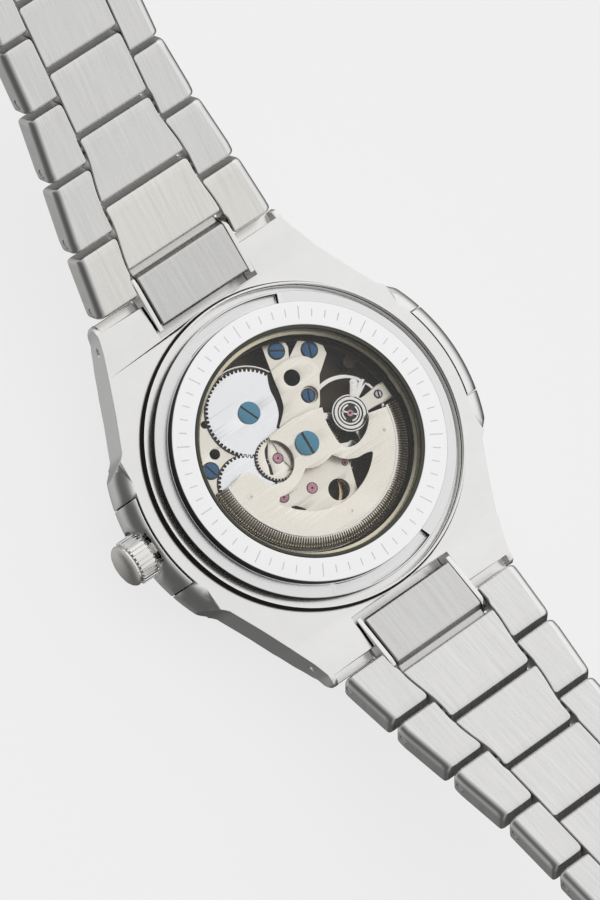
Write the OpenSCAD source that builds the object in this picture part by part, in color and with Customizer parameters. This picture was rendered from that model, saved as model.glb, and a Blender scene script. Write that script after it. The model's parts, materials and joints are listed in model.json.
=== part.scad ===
// Self-winding wristwatch with a skeleton rotor behind a display back, on a tapering three-row link bracelet.
// Z = 0 is the outer face of the front crystal and +Z leaves the display back, so the watch lies face down.
// +Y points to twelve o'clock and the crown is on the -X side. All sizes are in millimetres.

/* [Case] */
// Height from the front crystal to the rim of the display back
case_h = 12.4; // [12.3:0.05:12.6]
// Largest radius of the case, across the flank guards
case_r = 22.45; // [22.3:0.05:22.6]
// Height of the flat back of the case
back_z = 9.3; // [9.25:0.05:9.35]
// Half the width of the case at the lug ends
lug_half_w = 13.1; // [13:0.05:13.2]
// Distance from the centre to the lug ends, without the horns
lug_end_y = 23.2; // [23:0.05:23.3]
// Half the width of the slot that holds an end link
slot_half_w = 6.85; // [6.8:0.05:6.9]

/* [Display back] */
// Radius of the opening for the display crystal
window_r = 13.3; // [13.2:0.05:13.4]
// Radius of the raised rim around the display crystal
rim_r = 16.05; // [16:0.05:16.1]
// Radius of the flange of the screwed back
flange_r = 17.65; // [17.6:0.05:17.7]
// Inner radius of the case collar around the screwed back
collar_r = 18.62; // [18.6:0.01:18.65]

/* [Crown] */
// Height of the crown's axis
crown_z = 6.4; // [6.35:0.05:6.45]
// Radius of the crown
crown_r = 2.75; // [2.6:0.05:2.8]
// How far the crown pulls out to set the hands
crown_pull = 1.2; // [0.8:0.1:1.4]

/* [Bracelet] */
// Distance between two hinge axes
pitch = 8.55; // [8.5:0.05:8.6]
// Thickness of a link
link_t = 3.4; // [3.3:0.05:3.5]
// Distance of the first hinge axis from the centre of the case
hinge_y = 25.6; // [25.6:0.05:25.7]
// Height of the first hinge axis
hinge_z = 10.08; // [10.05:0.01:10.1]
// Radius of a hinge pin
pin_r = 0.56; // [0.54:0.01:0.56]
// Length of the clasp cover
clasp_l = 34; // [33:0.5:36]

/* [Movement] */
// Module of the winding gears
wind_m = 0.1596; // [0.159:0.0001:0.16]
// Radius of the balance wheel
balance_r = 4.7; // [4.5:0.05:4.7]

/* [Hidden] */
$fn = 72;
steel = "#c9c9c7";
polished = "#dcdcda";
nickel = "#d9d2c3";
blued = "#2c4a86";
teal = "#3f7f8c";
ruby = "#e08aa8";

// Radial clearance of a running fit and of a pressed pin
fit = 0.04;
press_gap = 0.015;
pin_hole_r = pin_r + fit;
press_hole_r = pin_r + press_gap;
bore_r = 15.75;
groove_z = 9.05;
bezel_z = 3.0;
// Floor of the slot of an end link, ledge between the lug horns, and inner face of a horn
slot_floor_z = 5.3;
ledge_z = 7.9;
horn_x = 12.38;
// Barrel of an end link, round the first hinge axis and just clear of the first centre link
barrel_lip_r = 2.2;

// Slope of each link row above the horizontal when the bracelet lies at its outward stops
row_slope = [24, 25.5, 28.7, 29.3, 31, 33];
// Half the width of the bracelet at each hinge
row_half_w = [12.2, 11.25, 10.05, 9.12, 9, 9, 9];
// Half the width of each centre link at its near and far end
centre_near = [6.5, 5.78, 4.9, 4.86, 4.86, 4.86];
centre_far = [5.72, 4.86, 4.86, 4.86, 4.86, 4.86];
upper_rows = 6;
lower_rows = 5;
// Ends of the outer links and of the centre links along a row, measured from the row's hinge
outer_u0 = -1.25;
outer_u1 = 6.6;
centre_u0 = 2.28;
centre_u1 = 10.08;
end_slope = 14;
side_gap = 0.08;
// Place on the row before that the near corners of an outer link reach at full bend
bend_reach_u = 6.9;

// Places of the movement's arbors
barrel_xy = [-3.2, 6.5];
crown_wheel_xy = [-8.1, 0];
winding_xy = [-3.52, 0.443];
third_xy = [-2.0, -4.5];
escape_xy = [2.9, -4.2];
pallet_xy = [3.1, -2.0];
balance_xy = [6.7, 0.1];
minute_wheel_xy = [0, -3.0];

ratchet_teeth = 62;
crown_wheel_teeth = 40;
winding_pinion_teeth = 14;
barrel_teeth = 72;
centre_pinion_teeth = 26;
centre_teeth = 64;
third_pinion_teeth = 8;
third_teeth = 60;
seconds_pinion_teeth = 8;
seconds_teeth = 75;
escape_pinion_teeth = 9;
cannon_teeth = 12;
minute_wheel_teeth = 36;
minute_pinion_teeth = 10;
hour_teeth = 40;

barrel_m = 2 * norm(barrel_xy) / (barrel_teeth + centre_pinion_teeth);
centre_m = 2 * norm(third_xy) / (centre_teeth + third_pinion_teeth);
third_m = 2 * norm(third_xy) / (third_teeth + seconds_pinion_teeth);
escape_m = 2 * norm(escape_xy) / (seconds_teeth + escape_pinion_teeth);
motion_m = 2 * norm(minute_wheel_xy) / (cannon_teeth + minute_wheel_teeth);
hour_m = 2 * norm(minute_wheel_xy) / (minute_pinion_teeth + hour_teeth);

function angle_of(v) = atan2(v[1], v[0]);
function arc_pts(r, a0, a1, n) = [for (i = [0 : n]) let (a = a0 + (a1 - a0) * i / n) [r * cos(a), r * sin(a)]];
function smooth(t) = let (c = min(1, max(0, t))) c * c * (3 - 2 * c);
function moved(p, pts) = [for (q = pts) p + q];

// Angle of one tooth of a gear that meshes with a gear of z_a teeth, which has a tooth at phase_a,
// when the second gear lies in direction dir from the first
function mesh_phase(dir, phase_a, z_a, z_b) = dir + 180 + (dir - phase_a) * z_a / z_b + 180 / z_b;

// ---- shared shapes ----

module ring(r_out, r_in, z0, z1) {
  translate([0, 0, z0]) difference() {
    cylinder(r = r_out, h = z1 - z0);
    translate([0, 0, -1]) cylinder(r = r_in, h = z1 - z0 + 2);
  }
}

module disc(p, r, z0, z1) {
  translate([p[0], p[1], z0]) cylinder(r = r, h = z1 - z0);
}

module slab(z0, z1) {
  translate([0, 0, z0]) linear_extrude(z1 - z0) children();
}

module spot(p, r) {
  translate(p) circle(r);
}

// Flat toothed disc with straight-sided teeth
module gear_2d(z, m, phase) {
  root = m * (z / 2 - 1.1);
  tip = m * (z / 2 + 0.75);
  step = 360 / z;
  polygon([for (i = [0 : z - 1], k = [[-0.31, root], [-0.13, tip], [0.13, tip], [0.31, root]])
    let (a = phase + (i + k[0]) * step) k[1] * [cos(a), sin(a)]]);
}

module gear(p, z, m, phase, z0, z1) {
  translate([p[0], p[1], z0]) linear_extrude(z1 - z0) gear_2d(z, m, phase);
}

// Open spokes of a wheel: rings of wedge-shaped windows
module spoke_windows(n, r_in, r_out, gap, turn) {
  for (i = [0 : n - 1]) {
    a0 = turn + i * 360 / n + gap;
    a1 = turn + (i + 1) * 360 / n - gap;
    polygon(concat(arc_pts(r_out, a0, a1, 8), arc_pts(r_in, a1 - gap, a0 + gap, 4)));
  }
}

module spoked_wheel(p, z, m, phase, z0, z1, arms) {
  outer = m * (z / 2 - 1.1) - 0.45;
  translate([p[0], p[1], z0]) linear_extrude(z1 - z0) difference() {
    gear_2d(z, m, phase);
    spoke_windows(arms, 0.9, outer, 6, 20);
  }
}

// Rotates a solid drawn along +Z so that it lies along +X from x0 to x1 at height z
module along_x(x0, x1, r, z) {
  translate([x0, 0, z]) rotate([0, 90, 0]) cylinder(r = r, h = x1 - x0);
}

// ---- case ----

// Plan of the case: one quarter, from the widest point round to the lug tip
function case_quarter() = concat(
  [[case_r + 0.3, 0], [case_r + 0.3, 7.3]],
  [for (i = [0 : 8]) let (t = i / 8)
    [21.6 - 3.0 * smooth(t) - 0.6 * t, 7.6 + 3.6 * t]],
  [[16.35, 14.6], [14.75, 18.2], [13.6, 21.2], [lug_half_w, 22.8], [lug_half_w, 24.0], [12.9, 24.4]]);

module case_plan() {
  q = case_quarter();
  n = len(q);
  upper = concat([for (p = q) p], [for (i = [n - 1 : -1 : 0]) [-q[i][0], q[i][1]]]);
  polygon(concat(upper, [for (i = [n - 1 : -1 : 0]) [-q[n - 1 - i][0], -q[n - 1 - i][1]]],
    [for (i = [n - 1 : -1 : 0]) [q[i][0], -q[i][1]]]));
}

// Rounded flank of the case as a radius and height outline
function flank_outline() = concat([[10, bezel_z], [20.9, bezel_z]],
  [for (i = [0 : 6]) let (a = -70 + 70 * i / 6) [case_r - 1.6 + 1.6 * cos(a), 6.1 + 2.6 * sin(a)]],
  [for (i = [0 : 5]) let (a = 62 * i / 5) [case_r - 2.6 + 2.6 * cos(a), 6.9 + 2.4 * sin(a)]],
  [[20.35, back_z], [10, back_z]]);

// Side view of a lug, from the bezel seat to its tip
function lug_side() = [[10, bezel_z], [17.5, bezel_z], [20.2, 3.7], [22.3, 4.9], [23.7, 6.3], [24.4, 7.6],
  [24.4, 9.0], [24.0, 9.6], [23.2, 9.78], [20.8, 9.7], [18.4, back_z], [10, back_z]];

module lug_pair() {
  translate([-case_r - 1, 0, 0]) rotate([90, 0, 90]) linear_extrude(2 * case_r + 2) polygon(lug_side());
}

module case_solid() {
  intersection() {
    slab(0, case_h + 1) case_plan();
    union() {
      rotate_extrude($fn = 144) polygon(flank_outline());
      lug_pair();
      mirror([0, 1, 0]) lug_pair();
      slab(bezel_z, back_z) square([38, 30], center = true);
    }
  }
  rotate_extrude($fn = 144) polygon([[collar_r - 2, back_z - 0.3], [19.08, back_z - 0.3], [19.05, back_z],
    [collar_r + 0.04, 10.43], [collar_r - 2, 10.43]]);
}

// Pocket for a flank guard on the +X side
module guard_pocket(grow) {
  intersection() {
    ring(case_r + 2, 20.55 - grow, 4.0 - grow, back_z + 1);
    translate([0, -5.7 - grow, 0]) cube([30, 11.4 + 2 * grow, 20]);
  }
}

module case_middle() {
  color(steel) difference() {
    case_solid();
    disc([0, 0], bore_r, -1, groove_z + 1);
    disc([0, 0], collar_r, groove_z, case_h);
    for (s = [-1, 1]) {
      translate([-slot_half_w, s > 0 ? 19.1 : -29.1, slot_floor_z]) cube([2 * slot_half_w, 10, 20]);
      translate([-horn_x, s > 0 ? lug_end_y : -lug_end_y - 5, ledge_z]) cube([2 * horn_x, 5, 20]);
      translate([0, s * 21.5, 0]) along_x(-20, 20, press_hole_r, 7.6);
    }
    guard_pocket(0.1);
    mirror([1, 0, 0]) guard_pocket(0.1);
    along_x(-30, -10, 1.3, crown_z);
    along_x(-30, -21, crown_r + 0.35, crown_z);
  }
}

module flank_guards() {
  color(polished) {
    for (s = [0, 1]) mirror([s, 0, 0]) difference() {
      intersection() {
        rotate_extrude($fn = 144) polygon(flank_outline());
        guard_pocket(0);
      }
      if (s == 1) {
        along_x(21.0, 30, crown_r + 0.35, crown_z);
        along_x(10, 30, 1.3, crown_z);
      }
    }
  }
}

module bezel() {
  color(polished) rotate_extrude($fn = 144) polygon([[16.45, bezel_z], [16.45, 0.35], [18.6, 0.35],
    [19.6, 0.75], [20.6, 1.9], [20.85, bezel_z]]);
}

module front_crystal() {
  color("lightblue", 0.4) rotate_extrude() polygon([[0, 0], [16.1, 0], [16.4, 0.3], [16.4, 1.6], [0, 1.6]]);
}

module chapter_ring() {
  color("#2b2b2b") rotate_extrude() polygon([[15.7, 1.62], [15.7, 3.38], [13.9, 3.38], [15.0, 1.62]]);
}

module dial_plate() {
  color("#20242a") difference() {
    union() {
      ring(15.7, 1.0, 3.4, 3.8);
      for (i = [0 : 11]) rotate(i * 30) translate([11.9, -0.35, 3.1]) cube([1.7, 0.7, 0.4]);
    }
  }
}

module movement_ring() {
  color("#b8b2a4") difference() {
    ring(15.6, 12.88, 4.4, 8.2);
    along_x(-20, -10, 1.0, crown_z);
  }
}

module caseback_ring() {
  color(polished) difference() {
    rotate_extrude($fn = 144) polygon([[15.65, 8.25], [15.65, groove_z + 0.01], [flange_r, groove_z + 0.01],
      [flange_r, 10.55], [17.55, 10.65], [rim_r, 10.65], [rim_r, 12.2], [15.85, case_h], [window_r, case_h],
      [window_r, 11.2], [12.5, 11.2], [12.5, 10.75], [14.6, 10.75], [14.6, 8.25]]);
    for (s = [0, 180]) rotate(s + 88) slab(9.8, 11) polygon(concat(arc_pts(17.45, -20, 20, 10),
      arc_pts(16.15, 20, -20, 10)));
  }
}

module window_gasket() {
  color("#4d4a3c") ring(window_r, 12.92, 11.2, 12.36);
}

module window_crystal() {
  color("lightblue", 0.3) disc([0, 0], 12.92, 11.2, 12.32);
}

module crown_tube() {
  color(polished) difference() {
    along_x(-21.4, -15.9, 1.28, crown_z);
    along_x(-30, -10, 0.75, crown_z);
  }
}

// ---- bracelet ----

// Heights and distances of the hinge axes along a chain of rows
function hinge_at(i) = i == 0 ? [hinge_y, hinge_z]
  : hinge_at(i - 1) + pitch * [cos(row_slope[i - 1]), sin(row_slope[i - 1])];

// Places a child drawn along +Y, with its hinge on the X axis, at the hinge of row i
module at_row(i, slope, upper) {
  h = hinge_at(i);
  mirror([0, upper ? 0 : 1, 0]) translate([0, h[0], h[1]]) rotate([slope, 0, 0]) children();
}

// Half the width of the bracelet's outside at a place u along row i
function outer_edge(i, u) = row_half_w[i] + (row_half_w[i + 1] - row_half_w[i]) * max(0, u) / pitch;

// Half the width of a centre link at a place u along row i
function centre_edge(i, u) = centre_near[i]
  + (centre_far[i] - centre_near[i]) * smooth((u - centre_u0) / 6.6);

// Half the width of what lies between the outer links of row i at a place u, with room to bend
function gap_edge(i, u) = side_gap + (u >= 1.95 ? centre_edge(i, u)
  : (i == 0 ? slot_half_w - side_gap : max(centre_edge(i - 1, bend_reach_u), centre_near[i])));

// Side view of a link as a rounded bar between u0 and u1
function bar_side(u0, u1, r_face, r_back) = let (h = link_t / 2) concat(
  moved([u1 - r_face, h - r_face], arc_pts(r_face, 0, 90, 5)),
  moved([u0 + r_face, h - r_face], arc_pts(r_face, 90, 180, 5)),
  moved([u0 + r_back, -h + r_back], arc_pts(r_back, 180, 270, 5)),
  moved([u1 - r_back, -h + r_back], arc_pts(r_back, 270, 360, 5)));

module side_prism(pts) {
  translate([-20, 0, 0]) rotate([90, 0, 90]) linear_extrude(40) polygon(pts);
}

// Place and half length of the pin that fixes a centre link between its outer links
fix_pin_u = 4.4;
function fix_reach(i) = centre_edge(i, fix_pin_u) + 1.55;

function outer_start(i) = i == 0 ? -0.9 : outer_u0;

module outer_link(i) {
  u0 = outer_start(i);
  n = 12;
  us = [for (k = [0 : n]) u0 + (outer_u1 - u0) * k / n];
  intersection() {
    translate([0, 0, -link_t]) linear_extrude(2 * link_t) polygon(concat(
      [for (u = us) [gap_edge(i, u), u]],
      [[outer_edge(i, outer_u1), outer_u1], [outer_edge(i, u0), u0]]));
    side_prism(bar_side(u0, outer_u1, 0.45, 0.9));
  }
}

module centre_link(i) {
  n = 10;
  us = [for (k = [0 : n]) centre_u0 + (centre_u1 - centre_u0) * k / n];
  difference() {
    intersection() {
      translate([0, 0, -link_t]) linear_extrude(2 * link_t) polygon(concat(
        [for (u = us) [centre_edge(i, u), u]],
        [for (k = [n : -1 : 0]) [-centre_edge(i, us[k]), us[k]]]));
      side_prism(bar_side(centre_u0, centre_u1, 0.45, 0.9));
    }
    translate([0, pitch, 0]) along_x(-20, 20, pin_hole_r, 0);
    translate([0, fix_pin_u, 0]) along_x(-20, 20, press_hole_r, 0);
  }
}

// One row: two outer links, the centre link half a pitch further out, its hinge pin and its fixing pin
module link_row(i) {
  for (s = [0, 1]) mirror([s, 0, 0]) difference() {
    outer_link(i);
    along_x(0, 20, press_hole_r, 0);
    translate([0, fix_pin_u, 0]) along_x(0, fix_reach(i) + press_gap, press_hole_r, 0);
  }
  centre_link(i);
  reach = outer_edge(i, 0) - 0.2;
  along_x(-reach, reach, pin_r, 0);
  translate([0, fix_pin_u, 0]) along_x(-fix_reach(i), fix_reach(i), pin_r, 0);
}

module link_row_at(i, upper) {
  color(steel) at_row(i, row_slope[i], upper) link_row(i);
}

module end_link() {
  difference() {
    intersection() {
      translate([-6.04, -6, -6]) cube([12.08, 9, 9]);
      side_prism(concat(
        moved([0.45, 1.25], arc_pts(0.45, 0, 90, 5)),
        moved([-5.0, 1.2], arc_pts(0.5, 90, 180, 5)),
        [[-5.5, -3.0], [-5.0, -3.5], [-2.6, -3.5], [-1.6, -2.4]],
        arc_pts(barrel_lip_r, 265, 372, 12), [[1.0, 0.6]]));
    }
    along_x(-20, 20, pin_hole_r, 0);
  }
}

module end_links() {
  color(steel) for (upper = [true, false]) difference() {
    at_row(0, end_slope, upper) end_link();
    translate([0, upper ? 21.5 : -21.5, 0]) along_x(-20, 20, press_hole_r, 7.6);
  }
}

// Polished plates on each side of an end link, which carry its hinge pin
module end_plate() {
  difference() {
    translate([6.16, 0, 0]) rotate([90, 0, 90]) linear_extrude(0.58) polygon(concat(
      arc_pts(1.45, -90, 90, 10), [[-5.9, 1.35], [-5.9, -2.6], [-3.0, -2.6]]));
    along_x(0, 20, pin_hole_r, 0);
  }
}

module end_plates() {
  color(polished) for (upper = [true, false], s = [0, 1]) difference() {
    at_row(0, end_slope, upper) mirror([s, 0, 0]) end_plate();
    translate([0, upper ? 21.5 : -21.5, 0]) along_x(-20, 20, press_hole_r, 7.6);
  }
}

module lug_pins() {
  color(steel) for (s = [-1, 1]) translate([0, s * 21.5, 0]) along_x(-13.0, 13.0, pin_r, 7.6);
}

// ---- clasp, in the frame of the last lower hinge ----

clasp_half_w = 9;
clasp_slope = 35;
blade_half_w = 7.0;
fold_pin_u = clasp_l - 1;
short_pin_u = 5;

module at_clasp() {
  at_row(lower_rows, clasp_slope, false) children();
}

module clasp_cover() {
  color(steel) at_clasp() difference() {
    union() {
      difference() {
        intersection() {
          translate([-clasp_half_w, 0, -1.9]) cube([2 * clasp_half_w, clasp_l, 3.8]);
          side_prism([[2.3, 1.5], [2.3, -1.2], [3.0, -1.9], [clasp_l - 2.4, -1.9], [clasp_l - 0.6, -1.5],
            [clasp_l, -0.6], [clasp_l, 0.6], [clasp_l - 0.6, 1.3], [clasp_l - 2, 1.5]]);
        }
        translate([-clasp_half_w + 1.1, 1, -1.0]) cube([2 * clasp_half_w - 2.2, 40, 5]);
        translate([-clasp_half_w + 1.1, clasp_l - 2.4, -5]) cube([2 * clasp_half_w - 2.2, 5, 9]);
      }
      for (s = [-1, 1]) translate([s * 6.6 - 0.9, -0.9, -0.95]) cube([1.8, 4.2, 1.9]);
      for (s = [-1, 1]) translate([s * 6.6 - 0.9, 2.4, -1.6]) cube([1.8, 0.9, 1.2]);
      along_x(-clasp_half_w + 0.6, clasp_half_w - 0.6, pin_r, 0);
    }
    translate([0, fold_pin_u, 0]) along_x(-20, 20, pin_r, 0);
    translate([0, 18, 0.1]) along_x(-20, 20, 1.35, 0);
  }
}

// The long blade folds back over the cover from the far hinge
module clasp_blade_long() {
  color(polished) at_clasp() {
    difference() {
      union() {
        translate([-blade_half_w, short_pin_u, -0.45]) cube([2 * blade_half_w, fold_pin_u - short_pin_u, 0.8]);
        translate([0, short_pin_u, 0]) along_x(-blade_half_w, blade_half_w, 0.9, 0);
        translate([0, fold_pin_u, 0]) along_x(-blade_half_w, blade_half_w, 0.9, 0);
      }
      translate([-4.2, 10, -2]) cube([8.4, 14, 4]);
      translate([-4.7, short_pin_u - 1.5, -2]) cube([9.4, 3, 4]);
      translate([-4.7, fold_pin_u - 1.5, 0.35]) cube([9.4, 3, 2]);
      translate([0, short_pin_u, 0]) along_x(-20, 20, 0.52, 0);
    }
    for (s = [0, 1]) mirror([s, 0, 0]) translate([0, fold_pin_u, 0]) along_x(5.5, 8.9, 0.52, 0);
  }
}

// The short blade lies on the long one and holds the upper half of the bracelet
module clasp_blade_short() {
  color(polished) at_clasp() difference() {
    union() {
      translate([-4.4, short_pin_u, 0.55]) cube([8.8, clasp_l - short_pin_u + 2.4, 0.8]);
      translate([0, short_pin_u, 0]) along_x(-4.4, 4.4, 0.95, 0);
      translate([-4.4, short_pin_u - 0.4, 0.2]) cube([8.8, 0.8, 0.9]);
      translate([0, clasp_l + 2.4, 1.1]) along_x(-4.4, 4.4, 1.0, 0);
      translate([0, short_pin_u, 0]) along_x(-7.2, 7.2, 0.48, 0);
    }
    translate([0, clasp_l + 2.4, 1.1]) along_x(-20, 20, 0.6, 0);
  }
}

// A push button reaches through a wall of the cover
module push_button(s) {
  color(polished) at_clasp() translate([0, 18, 0.1]) {
    if (s > 0) {
      along_x(7.85, 9.9, 1.3, 0);
    } else {
      along_x(-9.9, -7.85, 1.3, 0);
    }
  }
}

// ---- movement plates ----

module main_plate() {
  color(nickel) difference() {
    union() {
      disc([0, 0], 12.8, 4.6, 5.6);
      ring(12.8, 12.25, 5.5, 8.0);
      for (p = [[10.6, 5.0], [-11.2, 3.6], [3.7, 11.0], [-9.4, -6.6], [7.6, -8.4]]) disc(p, 0.75, 5.5, 8.0);
      disc(minute_wheel_xy, 0.3, 4.0, 4.7);
    }
    disc([0, 0], 0.62, 4, 6);
    disc(barrel_xy, 0.94, 4, 6);
    for (p = [third_xy, escape_xy]) disc(p, 0.16, 4, 6);
    disc(balance_xy, 0.2, 4, 6);
    translate([-11.8 - crown_pull, -1.7, 5.1]) cube([2.2 + crown_pull, 3.4, 4]);
    disc(barrel_xy, 5.6, 5.6, 9);
  }
}

// Both bridges keep clear of the ratchet wheel's circle, one inside it and one outside
under_ratchet_r = 5.15;
past_ratchet_r = 5.3;

module barrel_bridge() {
  color(nickel) slab(8.0, 8.85) difference() {
    intersection() {
      circle(12.2);
      union() {
        spot(barrel_xy, under_ratchet_r);
        polygon([[-13, -2.6], [-6.0, -2.6], [-4.6, -1.0], [-1.3, -0.4], [-0.9, 1.6], [-1.6, 3.0], [-3, 6],
          [-3, 13], [-13, 13]]);
      }
    }
    spot(barrel_xy, 1.35);
    spot(crown_wheel_xy, 0.75);
    spot(winding_xy, 0.3);
    spot([-9.15, 4.8], 0.6);
  }
}

// Upper finger of the train bridge with two screwed lugs
train_finger = [[-1.15, 3.3], [1.15, 6.5], [1.35, 7.5], [1.75, 9.1], [2.15, 10.7], [2.6, 11.8], [4.1, 12.0],
  [5.2, 11.2], [5.1, 10.2], [4.5, 9.2], [6.45, 10.3], [8.05, 9.5], [8.7, 8.2], [8.5, 7.2], [6.75, 5.9], [6.0, 5.4],
  [4.45, 2.9]];

// Layer on top of the finger, which reaches over the edge of the ratchet wheel
finger_top = [[-1.34, 3.3], [-0.24, 4.2], [0.46, 5.0], [0.96, 6.5], [1.16, 7.5], [1.56, 9.1], [3.76, 9.2],
  [5.26, 8.8], [6.26, 8.0], [6.56, 7.0], [6.45, 5.95], [6.06, 5.5], [4.26, 2.9], [3.2, 1.9], [0, 1.6], [-0.9, 2.4]];

// Lower part of the train bridge, below the barrel bridge and the centre
train_body = [[4.45, 2.9], [3.2, 2.2], [1.2, 1.6], [1.2, -2.0], [3.0, -3.3], [3.45, -3.9], [3.3, -4.9],
  [2.45, -7.4], [2.2, -13], [-13, -13], [-12.6, -2.75], [-5.9, -2.75], [-4.5, -1.15], [-1.15, -0.55],
  [-0.75, 1.7], [-1.15, 3.3]];

module train_outline() {
  difference() {
    intersection() {
      circle(12.2);
      union() {
        polygon(train_finger);
        polygon(train_body);
        polygon([[2.2, -8.3], [7, -7.2], [13, -6], [13, -13], [2, -13]]);
      }
    }
    spot(barrel_xy, past_ratchet_r);
    spot(crown_wheel_xy, 3.5);
    spot([0.55, -6.35], 1.25);
    spot([3.2, 7.1], 0.95);
    spot([-4.75, -5.5], 0.8);
    spot([0, 0], 0.74);
    for (p = [third_xy, escape_xy]) spot(p, 0.16);
  }
}

module train_bridge() {
  color(nickel) {
    slab(8.0, 8.5) difference() {
      train_outline();
      spot(balance_xy, balance_r + 0.3);
    }
    slab(8.5, 9.2) train_outline();
    slab(9.2, 9.8) difference() {
      polygon(finger_top);
      spot([3.2, 7.1], 0.95);
      spot([3.8, 4.4], 1.0);
      spot([0, 0], 1.5);
      spot(barrel_xy, past_ratchet_r);
    }
    slab(9.36, 9.8) intersection() {
      polygon(finger_top);
      spot(barrel_xy, past_ratchet_r + 0.1);
    }
    difference() {
      disc([0, 0], 0.92, 9.2, 9.9);
      disc([0, 0], 0.74, 9, 10);
    }
  }
}

// Carries the pallet fork between a lower and an upper arm
module pallet_bridge() {
  post = [5.5, -3.0];
  color(nickel) difference() {
    union() {
      disc(post, 0.55, 5.6, 7.2);
      for (z = [[6.0, 6.25], [6.95, 7.2]]) slab(z[0], z[1]) {
        spot(pallet_xy, 0.5);
        translate(pallet_xy) rotate(angle_of(post - pallet_xy)) translate([0, -0.4]) square([2.4, 0.8]);
      }
    }
    disc(pallet_xy, 0.15, 5.9, 7.19);
  }
}

// Narrow arm over the balance, with its foot beside the wheel
module balance_cock() {
  color(nickel) {
    slab(8.9, 9.3) difference() {
      union() {
        spot(balance_xy, 1.2);
        intersection() {
          circle(12.2);
          translate(balance_xy) polygon([[0, -1.1], [2.2, -0.95], [4.6, -1.15], [6, -1.15], [6, 0.95],
            [4.6, 0.95], [2.2, 0.75], [0, 1.1]]);
        }
      }
      spot(balance_xy, 0.16);
    }
    slab(8.0, 8.9) intersection() {
      circle(12.2);
      difference() {
        translate(balance_xy) polygon([[4.6, -1.15], [6, -1.15], [6, 0.95], [4.6, 0.95]]);
        spot(balance_xy, balance_r + 0.1);
      }
    }
  }
}

module regulator() {
  color(polished) slab(9.3, 9.52) translate(balance_xy) difference() {
    union() {
      circle(2.15);
      rotate(48) translate([0, -0.35]) square([3.4, 0.7]);
      rotate(48) translate([3.4, 0]) circle(0.55);
    }
    circle(1.3);
  }
}

module jewels() {
  color(ruby) {
    for (p = [third_xy, escape_xy, [-5.9, -3.6]]) disc(p, 0.55, 9.2, 9.26);
    disc(balance_xy, 0.42, 9.3, 9.4);
    disc(pallet_xy, 0.35, 7.2, 7.26);
  }
}

screw_head_h = 0.18;

module bridge_screws() {
  color(blued) {
    for (s = [[3.65, 10.6, 0.9, 9.2], [7.0, 8.65, 0.9, 9.2], [3.8, 4.4, 0.6, 9.2], [-10.65, 3.5, 0.9, 8.85],
        [7.6, -8.4, 0.85, 9.2], [-9.0, -6.6, 0.85, 9.2], [10.8, 0.1, 0.4, 9.3]])
      difference() {
        disc([s[0], s[1]], s[2], s[3], s[3] + screw_head_h);
        translate([s[0] - 1.5, s[1] - 0.11, s[3] + 0.08]) cube([3, 0.22, 1]);
      }
  }
}

// ---- winding work ----

// Half disc with two notches and a window, which hangs towards six o'clock
rotor_notch = [[-10.6, 1.0], [-9.3, 1.05], [-8.5, 1.3], [-7.5, 0.85], [-7.1, 0.2], [-6.6, -1.0], [-6.2, -1.7]];
rotor_top = [[-3.3, 3.0], [-1.6, 3.15], [0, 3.2], [1.4, 3.05], [2.8, 2.8], [3.95, 2.4], [3.4, 0.8],
  [3.2, -1.05], [3.25, -2.0], [3.7, -2.9], [5.0, -3.2], [6.5, -2.7], [7.6, -1.8], [8.0, -1.05], [10.45, -1.6]];
rotor_window = [[-6.5, -3.6], [-6.2, -3.35], [-5.4, -3.5], [-4.5, -3.45], [-3.5, -3.2], [-2.7, -2.8],
  [-1.8, -2.3], [-0.9, -2.8], [0.3, -2.9], [1.7, -2.7], [2.4, -3.6], [3.0, -4.1], [4.0, -4.55], [5.0, -4.65],
  [5.85, -4.8]];

module rotor_outline() {
  difference() {
    polygon(concat(arc_pts(10.6, 175, 351.3, 48), [for (i = [len(rotor_top) - 1 : -1 : 0]) rotor_top[i]],
      moved([-4.6, 0.4], arc_pts(2.5, 62, -127, 16)), [for (i = [6 : -1 : 0]) rotor_notch[i]]));
    polygon(concat(rotor_window, arc_pts(7.75, -40, -150, 20)));
    circle(0.74);
  }
}

module rotor_weight() {
  color(nickel) slab(10.15, 10.65) rotor_outline();
  color("#a39a86") slab(9.55, 10.7) polygon(concat(arc_pts(12.1, 175.4, 352.9, 48),
    arc_pts(10.62, 352.9, 175.4, 44)));
  color(nickel) slab(9.95, 10.15) difference() {
    circle(1.9);
    circle(1.04);
  }
}

module rotor_screw() {
  color(teal) difference() {
    union() {
      disc([0, 0], 1.4, 10.66, 10.95);
      disc([0, 0], 0.7, 8.75, 10.7);
    }
    translate([-2, -0.16, 10.83]) cube([4, 0.32, 1]);
  }
}

ratchet_phase = 0;
crown_wheel_phase = mesh_phase(angle_of(crown_wheel_xy - barrel_xy), ratchet_phase, ratchet_teeth,
  crown_wheel_teeth);
winding_phase = mesh_phase(angle_of(winding_xy - barrel_xy), ratchet_phase, ratchet_teeth,
  winding_pinion_teeth);

module slotted_head(p, r, z0, z1) {
  difference() {
    disc(p, r, z0, z1);
    translate([p[0] - 2, p[1] - 0.16, z1 - 0.14]) cube([4, 0.32, 1]);
  }
}

module ratchet_wheel() {
  color(polished) {
    difference() {
      gear(barrel_xy, ratchet_teeth, wind_m, ratchet_phase, 8.92, 9.3);
      disc(barrel_xy, 0.7, 8, 10);
    }
    disc(barrel_xy, 0.9, 4.7, 8.9);
  }
  color(teal) {
    disc(barrel_xy, 0.69, 8.9, 9.31);
    slotted_head(barrel_xy, 1.3, 9.31, 9.46);
  }
}

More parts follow.
